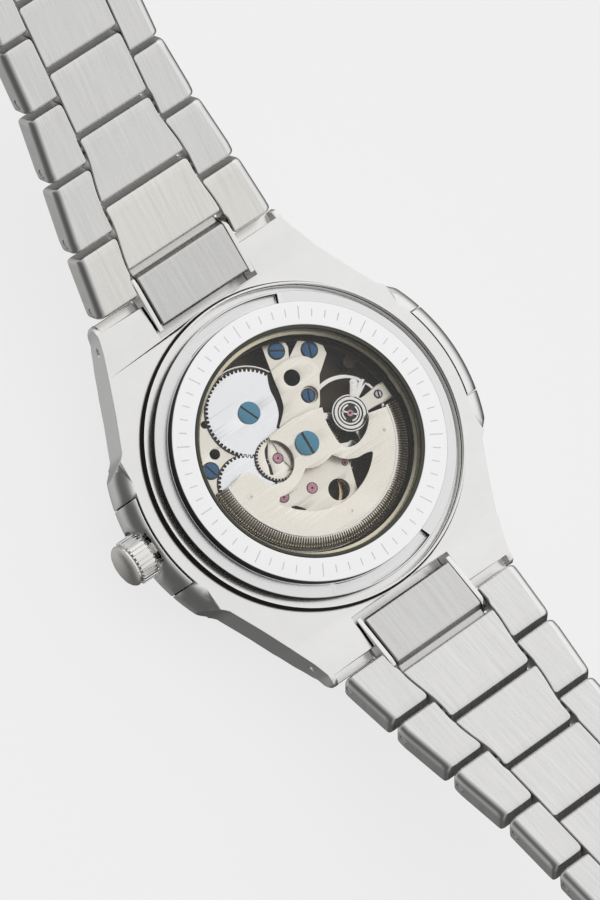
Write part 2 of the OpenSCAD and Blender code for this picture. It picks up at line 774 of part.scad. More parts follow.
module crown_wheel() {
  color(polished) {
    gear(crown_wheel_xy, crown_wheel_teeth, wind_m, crown_wheel_phase, 8.92, 9.25);
    disc(crown_wheel_xy, 0.7, 7.8, 8.95);
    disc(crown_wheel_xy, 2.3, 7.65, 7.9);
  }
  color(teal) slotted_head(crown_wheel_xy, 1.2, 9.25, 9.42);
}

module winding_wheel() {
  color(nickel) {
    gear(winding_xy, 40, 2 * 2.6 / 42, 0, 9.5, 9.7);
    gear(winding_xy, winding_pinion_teeth, wind_m, winding_phase, 8.92, 9.5);
    disc(winding_xy, 0.26, 8.1, 9.0);
  }
  color(ruby) disc(winding_xy, 0.5, 9.7, 9.78);
}

module barrel() {
  color("#cdb98a") {
    difference() {
      union() {
        gear(barrel_xy, barrel_teeth, barrel_m, angle_of(-barrel_xy), 6.1, 6.5);
        disc(barrel_xy, 4.95, 6.1, 7.45);
      }
      disc(barrel_xy, 4.65, 6.35, 8);
      disc(barrel_xy, 0.94, 5, 8);
    }
    difference() {
      disc(barrel_xy, 4.63, 7.2, 7.42);
      disc(barrel_xy, 0.94, 5, 8);
    }
  }
}

// Coiled ribbon inside the barrel, from the arbor to the drum wall
function spring_pts(r0, r1, turns, n) = [for (i = [0 : n]) let (a = 360 * turns * i / n, r = r0 + (r1 - r0) * i / n)
  [r * cos(a), r * sin(a)]];

module mainspring() {
  color("#8f949c") translate([barrel_xy[0], barrel_xy[1], 6.45]) linear_extrude(0.65) polygon(concat(
    spring_pts(1.3, 4.5, 6, 110), spring_pts(4.4, 1.2, -6, 110)));
}

// ---- going train ----

module centre_wheel() {
  color("#d7c07a") {
    difference() {
      union() {
        spoked_wheel([0, 0], centre_teeth, centre_m, angle_of(third_xy), 5.7, 5.88, 5);
        gear([0, 0], centre_pinion_teeth, barrel_m, mesh_phase(angle_of(-barrel_xy), angle_of(-barrel_xy),
          barrel_teeth, centre_pinion_teeth), 5.88, 6.6);
      }
      disc([0, 0], 0.36, 5, 7);
    }
    difference() {
      union() {
        disc([0, 0], 0.56, 2.35, 5.72);
        gear([0, 0], cannon_teeth, motion_m, angle_of(minute_wheel_xy), 4.4, 4.56);
      }
      disc([0, 0], 0.36, 2, 6);
    }
  }
}

module third_wheel() {
  color("#d7c07a") {
    spoked_wheel(third_xy, third_teeth, third_m, angle_of(-third_xy), 7.0, 7.18, 4);
    gear(third_xy, third_pinion_teeth, centre_m, mesh_phase(angle_of(third_xy), angle_of(third_xy), centre_teeth,
      third_pinion_teeth), 5.65, 6.95);
    disc(third_xy, 0.12, 4.8, 8.9);
    disc(third_xy, 0.5, 6.9, 7.1);
  }
}

seconds_phase = mesh_phase(angle_of(-third_xy), angle_of(-third_xy), third_teeth, seconds_pinion_teeth);

module seconds_wheel() {
  color("#d7c07a") {
    spoked_wheel([0, 0], seconds_teeth, escape_m, angle_of(escape_xy), 7.56, 7.72, 5);
    gear([0, 0], seconds_pinion_teeth, third_m, seconds_phase, 6.75, 7.6);
    disc([0, 0], 0.3, 1.95, 8.6);
  }
}

module escape_wheel() {
  color("#c9ccd2") {
    gear(escape_xy, escape_pinion_teeth, escape_m, mesh_phase(angle_of(escape_xy), angle_of(escape_xy),
      seconds_teeth, escape_pinion_teeth), 7.45, 7.9);
    translate([escape_xy[0], escape_xy[1], 6.5]) linear_extrude(0.2) difference() {
      polygon([for (i = [0 : 14], k = [[0, 1.5], [14, 1.85], [17, 1.5]]) let (a = i * 24 + k[0])
        k[1] * [cos(a), sin(a)]]);
      spoke_windows(4, 0.5, 1.15, 8, 0);
    }
    disc(escape_xy, 0.12, 4.8, 8.9);
  }
}

fork_dir = angle_of(balance_xy - pallet_xy);

module pallet_fork() {
  anchor_dir = angle_of(pallet_xy - escape_xy);
  color("#c9ccd2") slab(6.5, 6.7) translate(escape_xy)
    polygon(concat(arc_pts(2.05, anchor_dir - 55, anchor_dir + 55, 14),
      arc_pts(2.35, anchor_dir + 55, anchor_dir - 55, 14)));
  color("#c9ccd2") translate([pallet_xy[0], pallet_xy[1], 0]) rotate(fork_dir) {
    slab(6.5, 6.7) {
      polygon([[-0.5, -0.3], [2.9, -0.1], [3.15, -0.32], [3.3, -0.3], [3.12, 0], [3.3, 0.3], [3.15, 0.32], [2.9, 0.1],
        [-0.5, 0.3]]);
      circle(0.42);
    }
    disc([0, 0], 0.12, 6.02, 7.15);
  }
}

module balance_wheel() {
  color("#d7c07a") {
    translate([balance_xy[0], balance_xy[1], 7.95]) linear_extrude(0.38) difference() {
      circle(balance_r);
      for (i = [0 : 2]) rotate(i * 120 + 30) polygon(concat(arc_pts(balance_r - 0.5, 6, 114, 12),
        arc_pts(0.8, 100, 20, 4)));
    }
    disc(balance_xy, 0.12, 4.9, 9.2);
    disc(balance_xy, 0.45, 6.9, 7.1);
  }
}

module hairspring() {
  color(blued) translate([balance_xy[0], balance_xy[1], 8.5]) linear_extrude(0.12) polygon(concat(
    spring_pts(0.5, 2.2, 7, 120), spring_pts(2.14, 0.44, -7, 120)));
}

// ---- hands and motion work ----

module minute_wheel() {
  color("#d7c07a") difference() {
    union() {
      gear(minute_wheel_xy, minute_wheel_teeth, motion_m, mesh_phase(angle_of(minute_wheel_xy),
        angle_of(minute_wheel_xy), cannon_teeth, minute_wheel_teeth), 4.42, 4.56);
      gear(minute_wheel_xy, minute_pinion_teeth, hour_m, angle_of(-minute_wheel_xy), 4.1, 4.42);
    }
    disc(minute_wheel_xy, 0.34, 4, 5);
  }
}

module hour_hand() {
  color(polished) difference() {
    union() {
      disc([0, 0], 0.86, 2.85, 4.2);
      gear([0, 0], hour_teeth, hour_m, mesh_phase(angle_of(-minute_wheel_xy), angle_of(-minute_wheel_xy),
        minute_pinion_teeth, hour_teeth), 4.15, 4.32);
      slab(2.85, 3.02) {
        circle(1.3);
        polygon([[-0.75, 0], [-0.9, 6.6], [0, 8.2], [0.9, 6.6], [0.75, 0]]);
      }
    }
    disc([0, 0], 0.6, 2, 5);
  }
}

module minute_hand() {
  color(polished) slab(2.4, 2.56) difference() {
    union() {
      circle(1.05);
      rotate(-60) polygon([[-0.5, 0], [-0.6, 10.6], [0, 12.2], [0.6, 10.6], [0.5, 0]]);
    }
    circle(0.56);
  }
}

module seconds_hand() {
  color("#c8442c") slab(1.96, 2.08) difference() {
    union() {
      circle(0.75);
      rotate(150) polygon([[-0.14, 13.0], [-0.2, -3.6], [0.2, -3.6], [0.14, 13.0]]);
    }
    circle(0.3);
  }
}

// ---- crown and stem ----

module crown() {
  color(polished) {
    difference() {
      union() {
        difference() {
          along_x(-23.9, -21.55, crown_r, crown_z);
          for (i = [0 : 29]) translate([0, 0, crown_z]) rotate([i * 12, 0, 0])
            translate([-23.5, -0.13, crown_r - 0.16]) cube([1.8, 0.26, 1]);
        }
        translate([-23.9, 0, crown_z]) rotate([0, -90, 0]) rotate_extrude() polygon([[0, 0], [crown_r - 0.15, 0],
          [crown_r - 0.15, 0.5], [2.1, 1.2], [0, 1.45]]);
      }
      along_x(-21.9, -20, 1.5, crown_z);
      along_x(-23.2, -20, 0.6, crown_z);
    }
  }
}

module stem() {
  color("#9aa0a8") {
    along_x(-23.2, -11.25, 0.6, crown_z);
    along_x(-11.3, -10.9, 0.42, crown_z);
    along_x(-10.9, -9.9, 1.15, crown_z);
    along_x(-9.9, -9.3, 0.45, crown_z);
  }
}

// Clip in the stem's groove, which slides with the stem when the crown is pulled
module setting_lever() {
  color(nickel) difference() {
    translate([-11.22, -1.3, 5.72]) cube([0.27, 2.6, 1.0]);
    along_x(-13, -9, 0.46, crown_z);
    translate([-12, -0.46, crown_z]) cube([3, 0.92, 2]);
  }
}

case_middle();
bezel();
front_crystal();
chapter_ring();
dial_plate();
movement_ring();
caseback_ring();
window_crystal();
window_gasket();
flank_guards();
crown_tube();
end_links();
end_plates();
lug_pins();
main_plate();
barrel_bridge();
train_bridge();
pallet_bridge();
balance_cock();
regulator();
jewels();
bridge_screws();
rotor_weight();
rotor_screw();
barrel();
mainspring();
ratchet_wheel();
crown_wheel();
winding_wheel();
centre_wheel();
minute_hand();
third_wheel();
seconds_wheel();
seconds_hand();
hour_hand();
minute_wheel();
escape_wheel();
pallet_fork();
balance_wheel();
hairspring();
crown();
stem();
setting_lever();
for (i = [0 : upper_rows - 1]) link_row_at(i, true);
for (i = [0 : lower_rows - 1]) link_row_at(i, false);
clasp_cover();
clasp_blade_long();
clasp_blade_short();
push_button(-1);  // push_button_left
push_button(1);  // push_button_right
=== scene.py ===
import bpy
import bmesh
import json
from functools import partial
from math import atan2, cos, degrees, hypot, pi, radians, sin
from mathutils import Matrix, Vector

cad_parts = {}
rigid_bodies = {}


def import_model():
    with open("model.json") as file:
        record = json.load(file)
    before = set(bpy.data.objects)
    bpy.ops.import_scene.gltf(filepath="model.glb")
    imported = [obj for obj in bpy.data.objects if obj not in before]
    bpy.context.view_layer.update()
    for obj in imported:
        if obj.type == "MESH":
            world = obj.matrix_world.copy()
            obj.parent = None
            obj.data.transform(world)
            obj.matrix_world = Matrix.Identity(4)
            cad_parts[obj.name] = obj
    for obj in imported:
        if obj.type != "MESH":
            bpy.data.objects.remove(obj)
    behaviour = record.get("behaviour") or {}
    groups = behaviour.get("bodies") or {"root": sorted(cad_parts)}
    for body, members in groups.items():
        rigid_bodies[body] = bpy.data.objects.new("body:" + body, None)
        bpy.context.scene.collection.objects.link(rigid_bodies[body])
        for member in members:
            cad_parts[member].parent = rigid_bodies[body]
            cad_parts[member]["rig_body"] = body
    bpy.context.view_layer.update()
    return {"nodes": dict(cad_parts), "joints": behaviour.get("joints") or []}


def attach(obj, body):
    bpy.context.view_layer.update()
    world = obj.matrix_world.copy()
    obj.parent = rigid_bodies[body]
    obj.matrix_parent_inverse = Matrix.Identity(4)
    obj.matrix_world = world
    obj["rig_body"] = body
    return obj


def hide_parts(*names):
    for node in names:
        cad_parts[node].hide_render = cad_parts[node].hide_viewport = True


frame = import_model()
NODES = frame["nodes"]
JOINTS = {joint["name"]: joint for joint in frame["joints"]}
MM = 0.001


# ---------------------------------------------------------------- materials

class Material:
    """A procedural material made of one Principled shader and a few texture nodes."""

    def __init__(self, name, colour, metallic=1.0, roughness=0.2, **sockets):
        self.material = bpy.data.materials.new(name)
        self.material.use_nodes = True
        self.nodes = self.material.node_tree.nodes
        self.links = self.material.node_tree.links
        self.shader = self.nodes["Principled BSDF"]
        self.colour = (*colour, 1.0)
        self.roughness = roughness
        self.shader.inputs["Base Color"].default_value = self.colour
        self.shader.inputs["Metallic"].default_value = metallic
        self.shader.inputs["Roughness"].default_value = roughness
        for socket, value in sockets.items():
            self.shader.inputs[socket.replace("_", " ")].default_value = value

    def node(self, kind, **values):
        node = self.nodes.new(kind)
        for name, value in values.items():
            setattr(node, name, value)
        return node

    def place(self):
        return self.node("ShaderNodeTexCoord").outputs["Object"]

    def stretched(self, scale):
        """Object coordinates in metres, multiplied by three factors."""
        mapping = self.node("ShaderNodeMapping")
        mapping.inputs["Scale"].default_value = scale
        self.links.new(self.place(), mapping.inputs["Vector"])
        return mapping.outputs["Vector"]

    def polar(self, centre, per_radius, per_turn):
        """Coordinates that run round a centre: distance from it, and direction."""
        shift = self.node("ShaderNodeVectorMath", operation="SUBTRACT")
        shift.inputs[1].default_value = (centre[0], centre[1], 0)
        self.links.new(self.place(), shift.inputs[0])
        flat = self.node("ShaderNodeVectorMath", operation="MULTIPLY")
        flat.inputs[1].default_value = (1, 1, 0)
        self.links.new(shift.outputs[0], flat.inputs[0])
        length = self.node("ShaderNodeVectorMath", operation="LENGTH")
        self.links.new(flat.outputs[0], length.inputs[0])
        unit = self.node("ShaderNodeVectorMath", operation="NORMALIZE")
        self.links.new(flat.outputs[0], unit.inputs[0])
        turn = self.node("ShaderNodeVectorMath", operation="SCALE")
        turn.inputs["Scale"].default_value = per_turn
        self.links.new(unit.outputs[0], turn.inputs[0])
        far = self.node("ShaderNodeMath", operation="MULTIPLY")
        far.inputs[1].default_value = per_radius
        self.links.new(length.outputs["Value"], far.inputs[0])
        split = self.node("ShaderNodeSeparateXYZ")
        self.links.new(turn.outputs[0], split.inputs[0])
        joined = self.node("ShaderNodeCombineXYZ")
        self.links.new(split.outputs["X"], joined.inputs["X"])
        self.links.new(split.outputs["Y"], joined.inputs["Y"])
        self.links.new(far.outputs[0], joined.inputs["Z"])
        return joined.outputs[0]

    def noise(self, vector, detail=3.0, rough=0.6):
        noise = self.node("ShaderNodeTexNoise")
        noise.inputs["Scale"].default_value = 1.0
        noise.inputs["Detail"].default_value = detail
        noise.inputs["Roughness"].default_value = rough
        self.links.new(vector, noise.inputs["Vector"])
        return noise.outputs["Fac"]

    def ranged(self, factor, low, high):
        """The middle of a noise factor's range, spread over low to high."""
        spread = self.node("ShaderNodeMapRange")
        spread.inputs["From Min"].default_value = 0.3
        spread.inputs["From Max"].default_value = 0.7
        spread.inputs["To Min"].default_value = low
        spread.inputs["To Max"].default_value = high
        self.links.new(factor, spread.inputs["Value"])
        return spread.outputs["Result"]

    def vary_roughness(self, factor, amount):
        low, high = self.roughness - amount, self.roughness + amount
        self.links.new(self.ranged(factor, low, high), self.shader.inputs["Roughness"])
        return self

    def vary_colour(self, factor, amount, tint=None):
        dark = [c * (1 - amount) for c in self.colour[:3]]
        light = tint or [min(1.0, c * (1 + amount)) for c in self.colour[:3]]
        mix = self.node("ShaderNodeMix", data_type="RGBA")
        mix.inputs["A"].default_value = (*dark, 1)
        mix.inputs["B"].default_value = (*light, 1)
        self.links.new(self.ranged(factor, 0, 1), mix.inputs["Factor"])
        self.links.new(mix.outputs["Result"], self.shader.inputs["Base Color"])
        return self

    def bump(self, factor, height_mm, strength=1.0):
        bump = self.node("ShaderNodeBump")
        bump.inputs["Strength"].default_value = strength
        bump.inputs["Distance"].default_value = height_mm * MM
        self.links.new(factor, bump.inputs["Height"])
        self.links.new(bump.outputs["Normal"], self.shader.inputs["Normal"])
        return self


STEEL = (0.75, 0.745, 0.735)
# Painted light: a lighter, warmer copy of the link steel for the first upper row
LIT_STEEL = (0.80, 0.785, 0.75)
NICKEL = (0.90, 0.855, 0.76)
BRASS = (0.78, 0.62, 0.36)


def brushed_steel(name, colour, across_per_m, along_per_m, roughness=0.3):
    """Steel with a satin grain that runs along the bracelet."""
    made = Material(name, colour, 1.0, roughness)
    fine = made.noise(made.stretched((across_per_m, along_per_m, along_per_m)), 4.0, 0.7)
    made.vary_colour(fine, 0.12)
    made.vary_roughness(fine, 0.08)
    return made.bump(fine, 0.005, 0.6).material


def turned_steel(name, colour, centre, per_radius, per_turn, roughness, grain=0.04):
    """Metal finished on a lathe, with a fine grain round a centre given in metres."""
    made = Material(name, colour, 1.0, roughness)
    rings = made.noise(made.polar(centre, per_radius, per_turn), 3.0, 0.6)
    made.vary_colour(rings, grain)
    made.vary_roughness(rings, min(0.06, roughness * 0.4))
    return made.bump(rings, 0.0015, 0.4).material


def polished_metal(name, colour, roughness=0.09, smudge=0.03):
    """Mirror finish with faint hairlines and wear."""
    made = Material(name, colour, 1.0, roughness)
    wear = made.noise(made.stretched((420, 420, 420)), 5.0, 0.6)
    made.vary_colour(wear, 0.02)
    return made.vary_roughness(wear, smudge).material


def frosted_metal(name, colour, roughness=0.36, grain_per_m=9000, amount=0.05):
    """Matte plated metal with a fine even grain."""
    made = Material(name, colour, 1.0, roughness)
    grain = made.noise(made.stretched((grain_per_m,) * 3), 2.0, 0.6)
    cloud = made.noise(made.stretched((160, 160, 160)), 2.0, 0.5)
    made.vary_colour(cloud, amount)
    made.vary_roughness(grain, 0.05)
    return made.bump(grain, 0.002, 0.5).material


def matte(name, colour, roughness, grain_per_m=1800, spread=0.2, wear=0.08, detail=(3.0, 0.6), **sockets):
    """Lacquer, rubber, or metal so deep in shadow that it has no highlights."""
    made = Material(name, colour, 0.0, roughness, **sockets)
    grain = made.noise(made.stretched((grain_per_m,) * 3), *detail)
    made.vary_colour(grain, spread)
    return made.vary_roughness(grain, wear).material


def crystal(name, tint):
    made = Material(name, tint, 0.0, 0.03, Alpha=0.03, IOR=1.5)
    haze = made.noise(made.stretched((300, 300, 300)), 2.0, 0.5)
    return made.vary_roughness(haze, 0.01).material


def ruby_glass():
    made = Material("ruby", (0.80, 0.30, 0.42), 0.0, 0.25, Coat_Weight=0.25, Coat_Roughness=0.1,
                    Subsurface_Weight=0.2, Subsurface_Radius=(0.0004, 0.0002, 0.0002))
    cloud = made.noise(made.stretched((2200, 2200, 2200)), 2.0, 0.5)
    return made.vary_colour(cloud, 0.15, (0.95, 0.55, 0.68)).material


LACQUER = {"grain_per_m": 2500, "spread": 0.12, "wear": 0.05, "Coat_Weight": 0.4, "Coat_Roughness": 0.1}
RUBBER = {"Specular_IOR_Level": 0.6}
SHADOW = {"spread": 0.15, "wear": 0.05, "detail": (2.0, 0.5), "Specular_IOR_Level": 0.1}

M = {
    "link": brushed_steel("link", STEEL, 5200, 110),
    "lit_link": brushed_steel("lit_link", LIT_STEEL, 5200, 110),
    "end_link": brushed_steel("end_link", (0.66, 0.655, 0.645), 5200, 110),
    "case": polished_metal("case", (0.84, 0.835, 0.82), 0.2, 0.02),
    "polished": polished_metal("polished", (0.84, 0.835, 0.82)),
    "shoulder": polished_metal("shoulder", (0.80, 0.80, 0.79), 0.14),
    "rim": turned_steel("rim", (0.93, 0.93, 0.93), (0, 0), 4000, 3.0, 0.16, 0.015),
    "flange": turned_steel("flange", (0.80, 0.80, 0.80), (0, 0), 6000, 3.0, 0.22, 0.03),
    "tick": frosted_metal("tick", (0.68, 0.68, 0.68), 0.4, 9000, 0.05),
    "shade": matte("shade", (0.022, 0.019, 0.016), 0.6, **SHADOW),
    # Painted shade: edge is a dark bronze for the upright walls of the bridges and the rotor
    "edge": polished_metal("edge", (0.22, 0.19, 0.15), 0.25),
    # Painted shade for the knurl grooves of the rotor's heavy rim
    "groove": polished_metal("groove", (0.26, 0.22, 0.16), 0.25),
    "cap": frosted_metal("cap", (0.86, 0.84, 0.79), 0.42, 3000, 0.04),
    "gasket": matte("gasket", (0.055, 0.055, 0.038), 0.42, **RUBBER),
    "gold_ring": turned_steel("gold_ring", (0.72, 0.66, 0.50), (0, 0), 3000, 3.0, 0.2),
    "crystal": crystal("crystal", (0.985, 0.99, 0.985)),
    "nickel": frosted_metal("nickel", NICKEL),
    "rotor": frosted_metal("rotor", (0.90, 0.86, 0.77), 0.3),
    "heavy": polished_metal("heavy", (0.95, 0.90, 0.79), 0.2),
    # Painted shade, on the plate's own bronze: the deep main plate and spacer ring are darkened to
    # near-black
    "deep_plate_shade": frosted_metal("deep_plate_shade", (0.085, 0.065, 0.048), 0.42),
    "barrel_cover": polished_metal("barrel_cover", (0.91, 0.915, 0.93), 0.24, 0.02),
    "brass": frosted_metal("brass", BRASS, 0.25),
    "wheel_steel": polished_metal("wheel_steel", (0.80, 0.80, 0.80), 0.22, 0.05),
    "bright": polished_metal("bright", (0.80, 0.79, 0.76), 0.14),
    "blued": polished_metal("blued", (0.05, 0.115, 0.22), 0.2, 0.05),
    "teal": polished_metal("teal", (0.09, 0.24, 0.34), 0.22, 0.05),
    "spring": polished_metal("spring", (0.5, 0.51, 0.54), 0.2),
    "ruby": ruby_glass(),
    "dial": matte("dial", (0.016, 0.02, 0.03), 0.3, **LACQUER),
    "index": polished_metal("index", (0.85, 0.85, 0.84), 0.12),
    "red": matte("red", (0.55, 0.05, 0.02), 0.3, **LACQUER),
    # Painted shade: near-black for bores, slot floors and the gaps round and under small parts
    "gap_shade": matte("gap_shade", (0.012, 0.011, 0.010), 0.42, **RUBBER),
}


# ---------------------------------------------------------------- mesh tools

SOFTEN_ABOVE_DEG = 28
WELD = 0.0004 * MM
SHORT_NAMES = {"caseback_ring": "caseback", "window_gasket": "gasket", "window_crystal": "window",
               "rotor_weight": "rotor"}


def finish_mesh(node, mesh, slots, smooth_deg=32):
    """Turns a bmesh into the piece that stands for a CAD node and rides on the node's body."""
    name = SHORT_NAMES.get(node, node) + "_finished"
    body = NODES[node]["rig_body"]
    bmesh.ops.recalc_face_normals(mesh, faces=mesh.faces)
    data = bpy.data.meshes.new(name)
    mesh.to_mesh(data)
    mesh.free()
    if "custom_normal" in data.attributes:
        data.attributes.remove(data.attributes["custom_normal"])
    for key in slots:
        data.materials.append(M[key])
    data.polygons.foreach_set("use_smooth", [True] * len(data.polygons))
    data.set_sharp_from_angle(angle=radians(smooth_deg))
    piece = bpy.data.objects.new(name, data)
    bpy.context.scene.collection.objects.link(piece)
    flat = piece.modifiers.new("flat faces", "WEIGHTED_NORMAL")
    flat.keep_sharp = True
    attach(piece, body)
    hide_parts(node)
    return piece


def clean_copy(node):
    """A CAD node's mesh with its triangles joined into whole faces."""
    mesh = bmesh.new()
    mesh.from_mesh(NODES[node].data)
    bmesh.ops.remove_doubles(mesh, verts=mesh.verts, dist=0.0015 * MM)
    bmesh.ops.dissolve_degenerate(mesh, edges=mesh.edges, dist=0.001 * MM)
    bmesh.ops.dissolve_limit(mesh, angle_limit=radians(0.8), verts=mesh.verts, edges=mesh.edges)
    for face in mesh.faces:
        face.material_index = 0
    return mesh


def soften(mesh, width, segments):
    """Rounds every edge that turns by more than SOFTEN_ABOVE_DEG; the width is in millimetres."""
    sharp = [edge for edge in mesh.edges
             if len(edge.link_faces) == 2 and edge.calc_face_angle(0) > radians(SOFTEN_ABOVE_DEG)]
    bmesh.ops.bevel(mesh, geom=sharp, offset=width * MM, segments=segments, profile=0.5,
                    affect="EDGES", clamp_overlap=False, material=0)


def refined(node, slots, width, paint=None, segments=2):
    """Replaces a CAD node by the same shape with rounded edges; paint picks a slot for a face."""
    mesh = clean_copy(node)
    if paint:
        for face in mesh.faces:
            face.material_index = paint(face.normal, face.calc_center_median() / MM)
    soften(mesh, width, segments)
    return finish_mesh(node, mesh, slots)


# ---------------------------------------------------------------- camera, light and floor

def make_camera():
    """The photo's viewpoint: its place in mm and its three axes in the shared frame."""
    camera = bpy.data.objects.new("camera", bpy.data.cameras.new("camera"))
    bpy.context.scene.collection.objects.link(camera)
    camera.data.sensor_width = 36
    camera.data.lens = 186.03
    camera.data.clip_end = 10
    camera.location = Vector((-161.83, -4.04, 509.54)) * MM
    right = Vector((0.7876364, -0.5634163, 0.2493811))
    up = Vector((0.5344318, 0.8261405, 0.1785343))
    back = Vector((-0.3066130, -0.0073430, 0.9518060))
    camera.rotation_euler = Matrix((right, up, back)).transposed().to_euler()
    bpy.context.scene.camera = camera


BACKDROP = 0.86
FLOOR_HALF_M = 3.0
FLOOR_GLOW = 0.755


def make_world():
    """A pale studio: bright above and towards +X, darker on the -X side and below."""
    world = bpy.data.worlds.new("studio")
    bpy.context.scene.world = world
    world.use_nodes = True
    nodes, links = world.node_tree.nodes, world.node_tree.links
    split = nodes.new("ShaderNodeSeparateXYZ")
    links.new(nodes.new("ShaderNodeTexCoord").outputs["Generated"], split.inputs[0])

    def ramp(output, start, end, low, high):
        made = nodes.new("ShaderNodeMapRange")
        made.interpolation_type = "SMOOTHSTEP"
        made.inputs["From Min"].default_value = start
        made.inputs["From Max"].default_value = end
        made.inputs["To Min"].default_value = low
        made.inputs["To Max"].default_value = high
        links.new(output, made.inputs["Value"])
        return made.outputs["Result"]

    def combine(a, b, operation="MULTIPLY"):
        made = nodes.new("ShaderNodeMath")
        made.operation = operation
        for socket, value in zip(made.inputs, (a, b)):
            if isinstance(value, float):
                socket.default_value = value
            else:
                links.new(value, socket)
        return made.outputs[0]

    x, y, z = (split.outputs[axis] for axis in "XYZ")
    above = combine(ramp(x, -0.78, 0.5, 0.12, 1.0), ramp(y, -0.9, 0.9, 0.9, 1.06))
    below = combine(ramp(y, -0.35, 0.35, 0.12, 0.5), ramp(x, -0.2, 0.25, 1.0, 0.45))
    height = ramp(z, -0.6, 0.3, 0.0, 1.0)
    depth = combine(1.0, height, "SUBTRACT")
    studio = combine(combine(above, height), combine(below, depth), "ADD")
    seen = nodes.new("ShaderNodeLightPath").outputs["Is Camera Ray"]
    mixed = nodes.new("ShaderNodeMix")
    links.new(seen, mixed.inputs["Factor"])
    links.new(studio, mixed.inputs["A"])
    mixed.inputs["B"].default_value = BACKDROP
    links.new(mixed.outputs["Result"], nodes["Background"].inputs["Color"])
    nodes["Background"].inputs["Strength"].default_value = 1.0


def make_floor():
    """A plain pale sheet that glows a little, so that the shadows on it stay soft."""
    mesh = bpy.data.meshes.new("floor")
    corners = [(x * FLOOR_HALF_M, y * FLOOR_HALF_M, 0) for x, y in ((-1, -1), (1, -1), (1, 1), (-1, 1))]
    mesh.from_pydata(corners, [], [(0, 1, 2, 3)])
    floor = bpy.data.objects.new("floor", mesh)
    floor.location.z = -0.02 * MM
    bpy.context.scene.collection.objects.link(floor)
    paper = Material("paper", (0.16, 0.16, 0.16), 0.0, 0.9)
    grain = paper.noise(paper.stretched((40, 40, 40)), 2.0, 0.5)
    paper.vary_colour(grain, 0.004)
    paper.shader.inputs["Emission Color"].default_value = (1, 1, 1, 1)
    paper.shader.inputs["Emission Strength"].default_value = FLOOR_GLOW
    mesh.materials.append(paper.material)
    floor.visible_glossy = False


make_camera()
make_world()
make_floor()
bpy.context.scene.view_settings.view_transform = "Standard"


# ---------------------------------------------------------------- bracelet

# u runs along a row from its hinge pin, v out of it; both are in mm, and so are the half widths
PITCH = 8.55
LINK_H = 1.7
ROW_HALF_W = [12.2, 11.25, 10.05, 9.12, 9, 9, 9]
CENTRE_NEAR = [6.5, 5.78, 4.9, 4.86, 4.86, 4.86]
CENTRE_FAR = [5.72, 4.86, 4.86, 4.86, 4.86, 4.86]
CENTRE_U = (2.28, 10.08)
OUTER_U = (-1.25, 6.6)
FIRST_OUTER_U = -0.9
END_LINK_HALF_W = 6.77
LINK_GAP = 0.08
BEND_REACH_U = 6.9
LAST_SLOPE_DEG = 33
PIN_R = 0.56
FIX_PIN_U = 4.4
INNER_ROUND = 0.14
OUTER_ROUND = 0.95
CENTRE_ROUND = 0.16


def smooth(t):
    t = min(1.0, max(0.0, t))
    return t * t * (3 - 2 * t)


def centre_edge(i, u):
    return CENTRE_NEAR[i] + (CENTRE_FAR[i] - CENTRE_NEAR[i]) * smooth((u - CENTRE_U[0]) / 6.6)


def outer_edge(i, u):
    return ROW_HALF_W[i] + (ROW_HALF_W[i + 1] - ROW_HALF_W[i]) * max(0.0, u) / PITCH


def gap_edge(i, u):
    """Half the width of what lies between the outer links of a row."""
    if u >= 1.95:
        return LINK_GAP + centre_edge(i, u)
    if i == 0:
        return LINK_GAP + END_LINK_HALF_W
    return LINK_GAP + max(centre_edge(i - 1, BEND_REACH_U), CENTRE_NEAR[i])


class Row:
    """Places points given across, along and out of a link row."""

    def __init__(self, side, i):
        here = JOINTS[f"{side}_row_{i + 1}_bend"]["pos_m"]
        after = "clasp_bend" if (side, i) == ("lower", 4) else f"{side}_row_{i + 2}_bend"
        self.way = 1 if side == "upper" else -1
        self.y, self.z = abs(here[1]) / MM, here[2] / MM
        if after in JOINTS:
            there = JOINTS[after]["pos_m"]
            self.slope = atan2(there[2] / MM - self.z, abs(there[1]) / MM - self.y)
        else:
            self.slope = radians(LAST_SLOPE_DEG)

    def at(self, x, u, v):
        y = self.y + u * cos(self.slope) - v * sin(self.slope)
        z = self.z + u * sin(self.slope) + v * cos(self.slope)
        return Vector((x, self.way * y, z)) * MM


def inset(distance, radius):
    """How far a rounded corner pulls in at a distance from its end."""
    if distance >= radius:
        return 0.0
    return radius - (radius * radius - (radius - distance) ** 2) ** 0.5


# Distances from the near and the far end of a link at which its shape is drawn
NEAR_STEPS = (0.0, 0.04, 0.12, 0.25, 0.42, 0.6, 0.66)
FAR_STEPS = (0.95, 0.9, 0.5, 0.36, 0.2, 0.1, 0.03, 0.0)


def face_height(near, far):
    """Height of the outer face at given distances from the near and the far end of a link."""
    strip = 0.2 * (0.9 - far) / 0.9 if far < 0.9 else 0.0
    return LINK_H - inset(near, 0.6) * 0.75 - strip - inset(far, 0.36) * 0.7


def back_height(near, far):
    return -LINK_H + inset(near, 0.8) + inset(far, 0.8)


def side_arc(x, top, radius, sign, count=4):
    """Rounded edge from a flank up to the face."""
    return [(x - sign * radius * (1 - cos(a)), top - radius * (1 - sin(a)))
            for a in (pi / 2 * k / count for k in range(count + 1))]


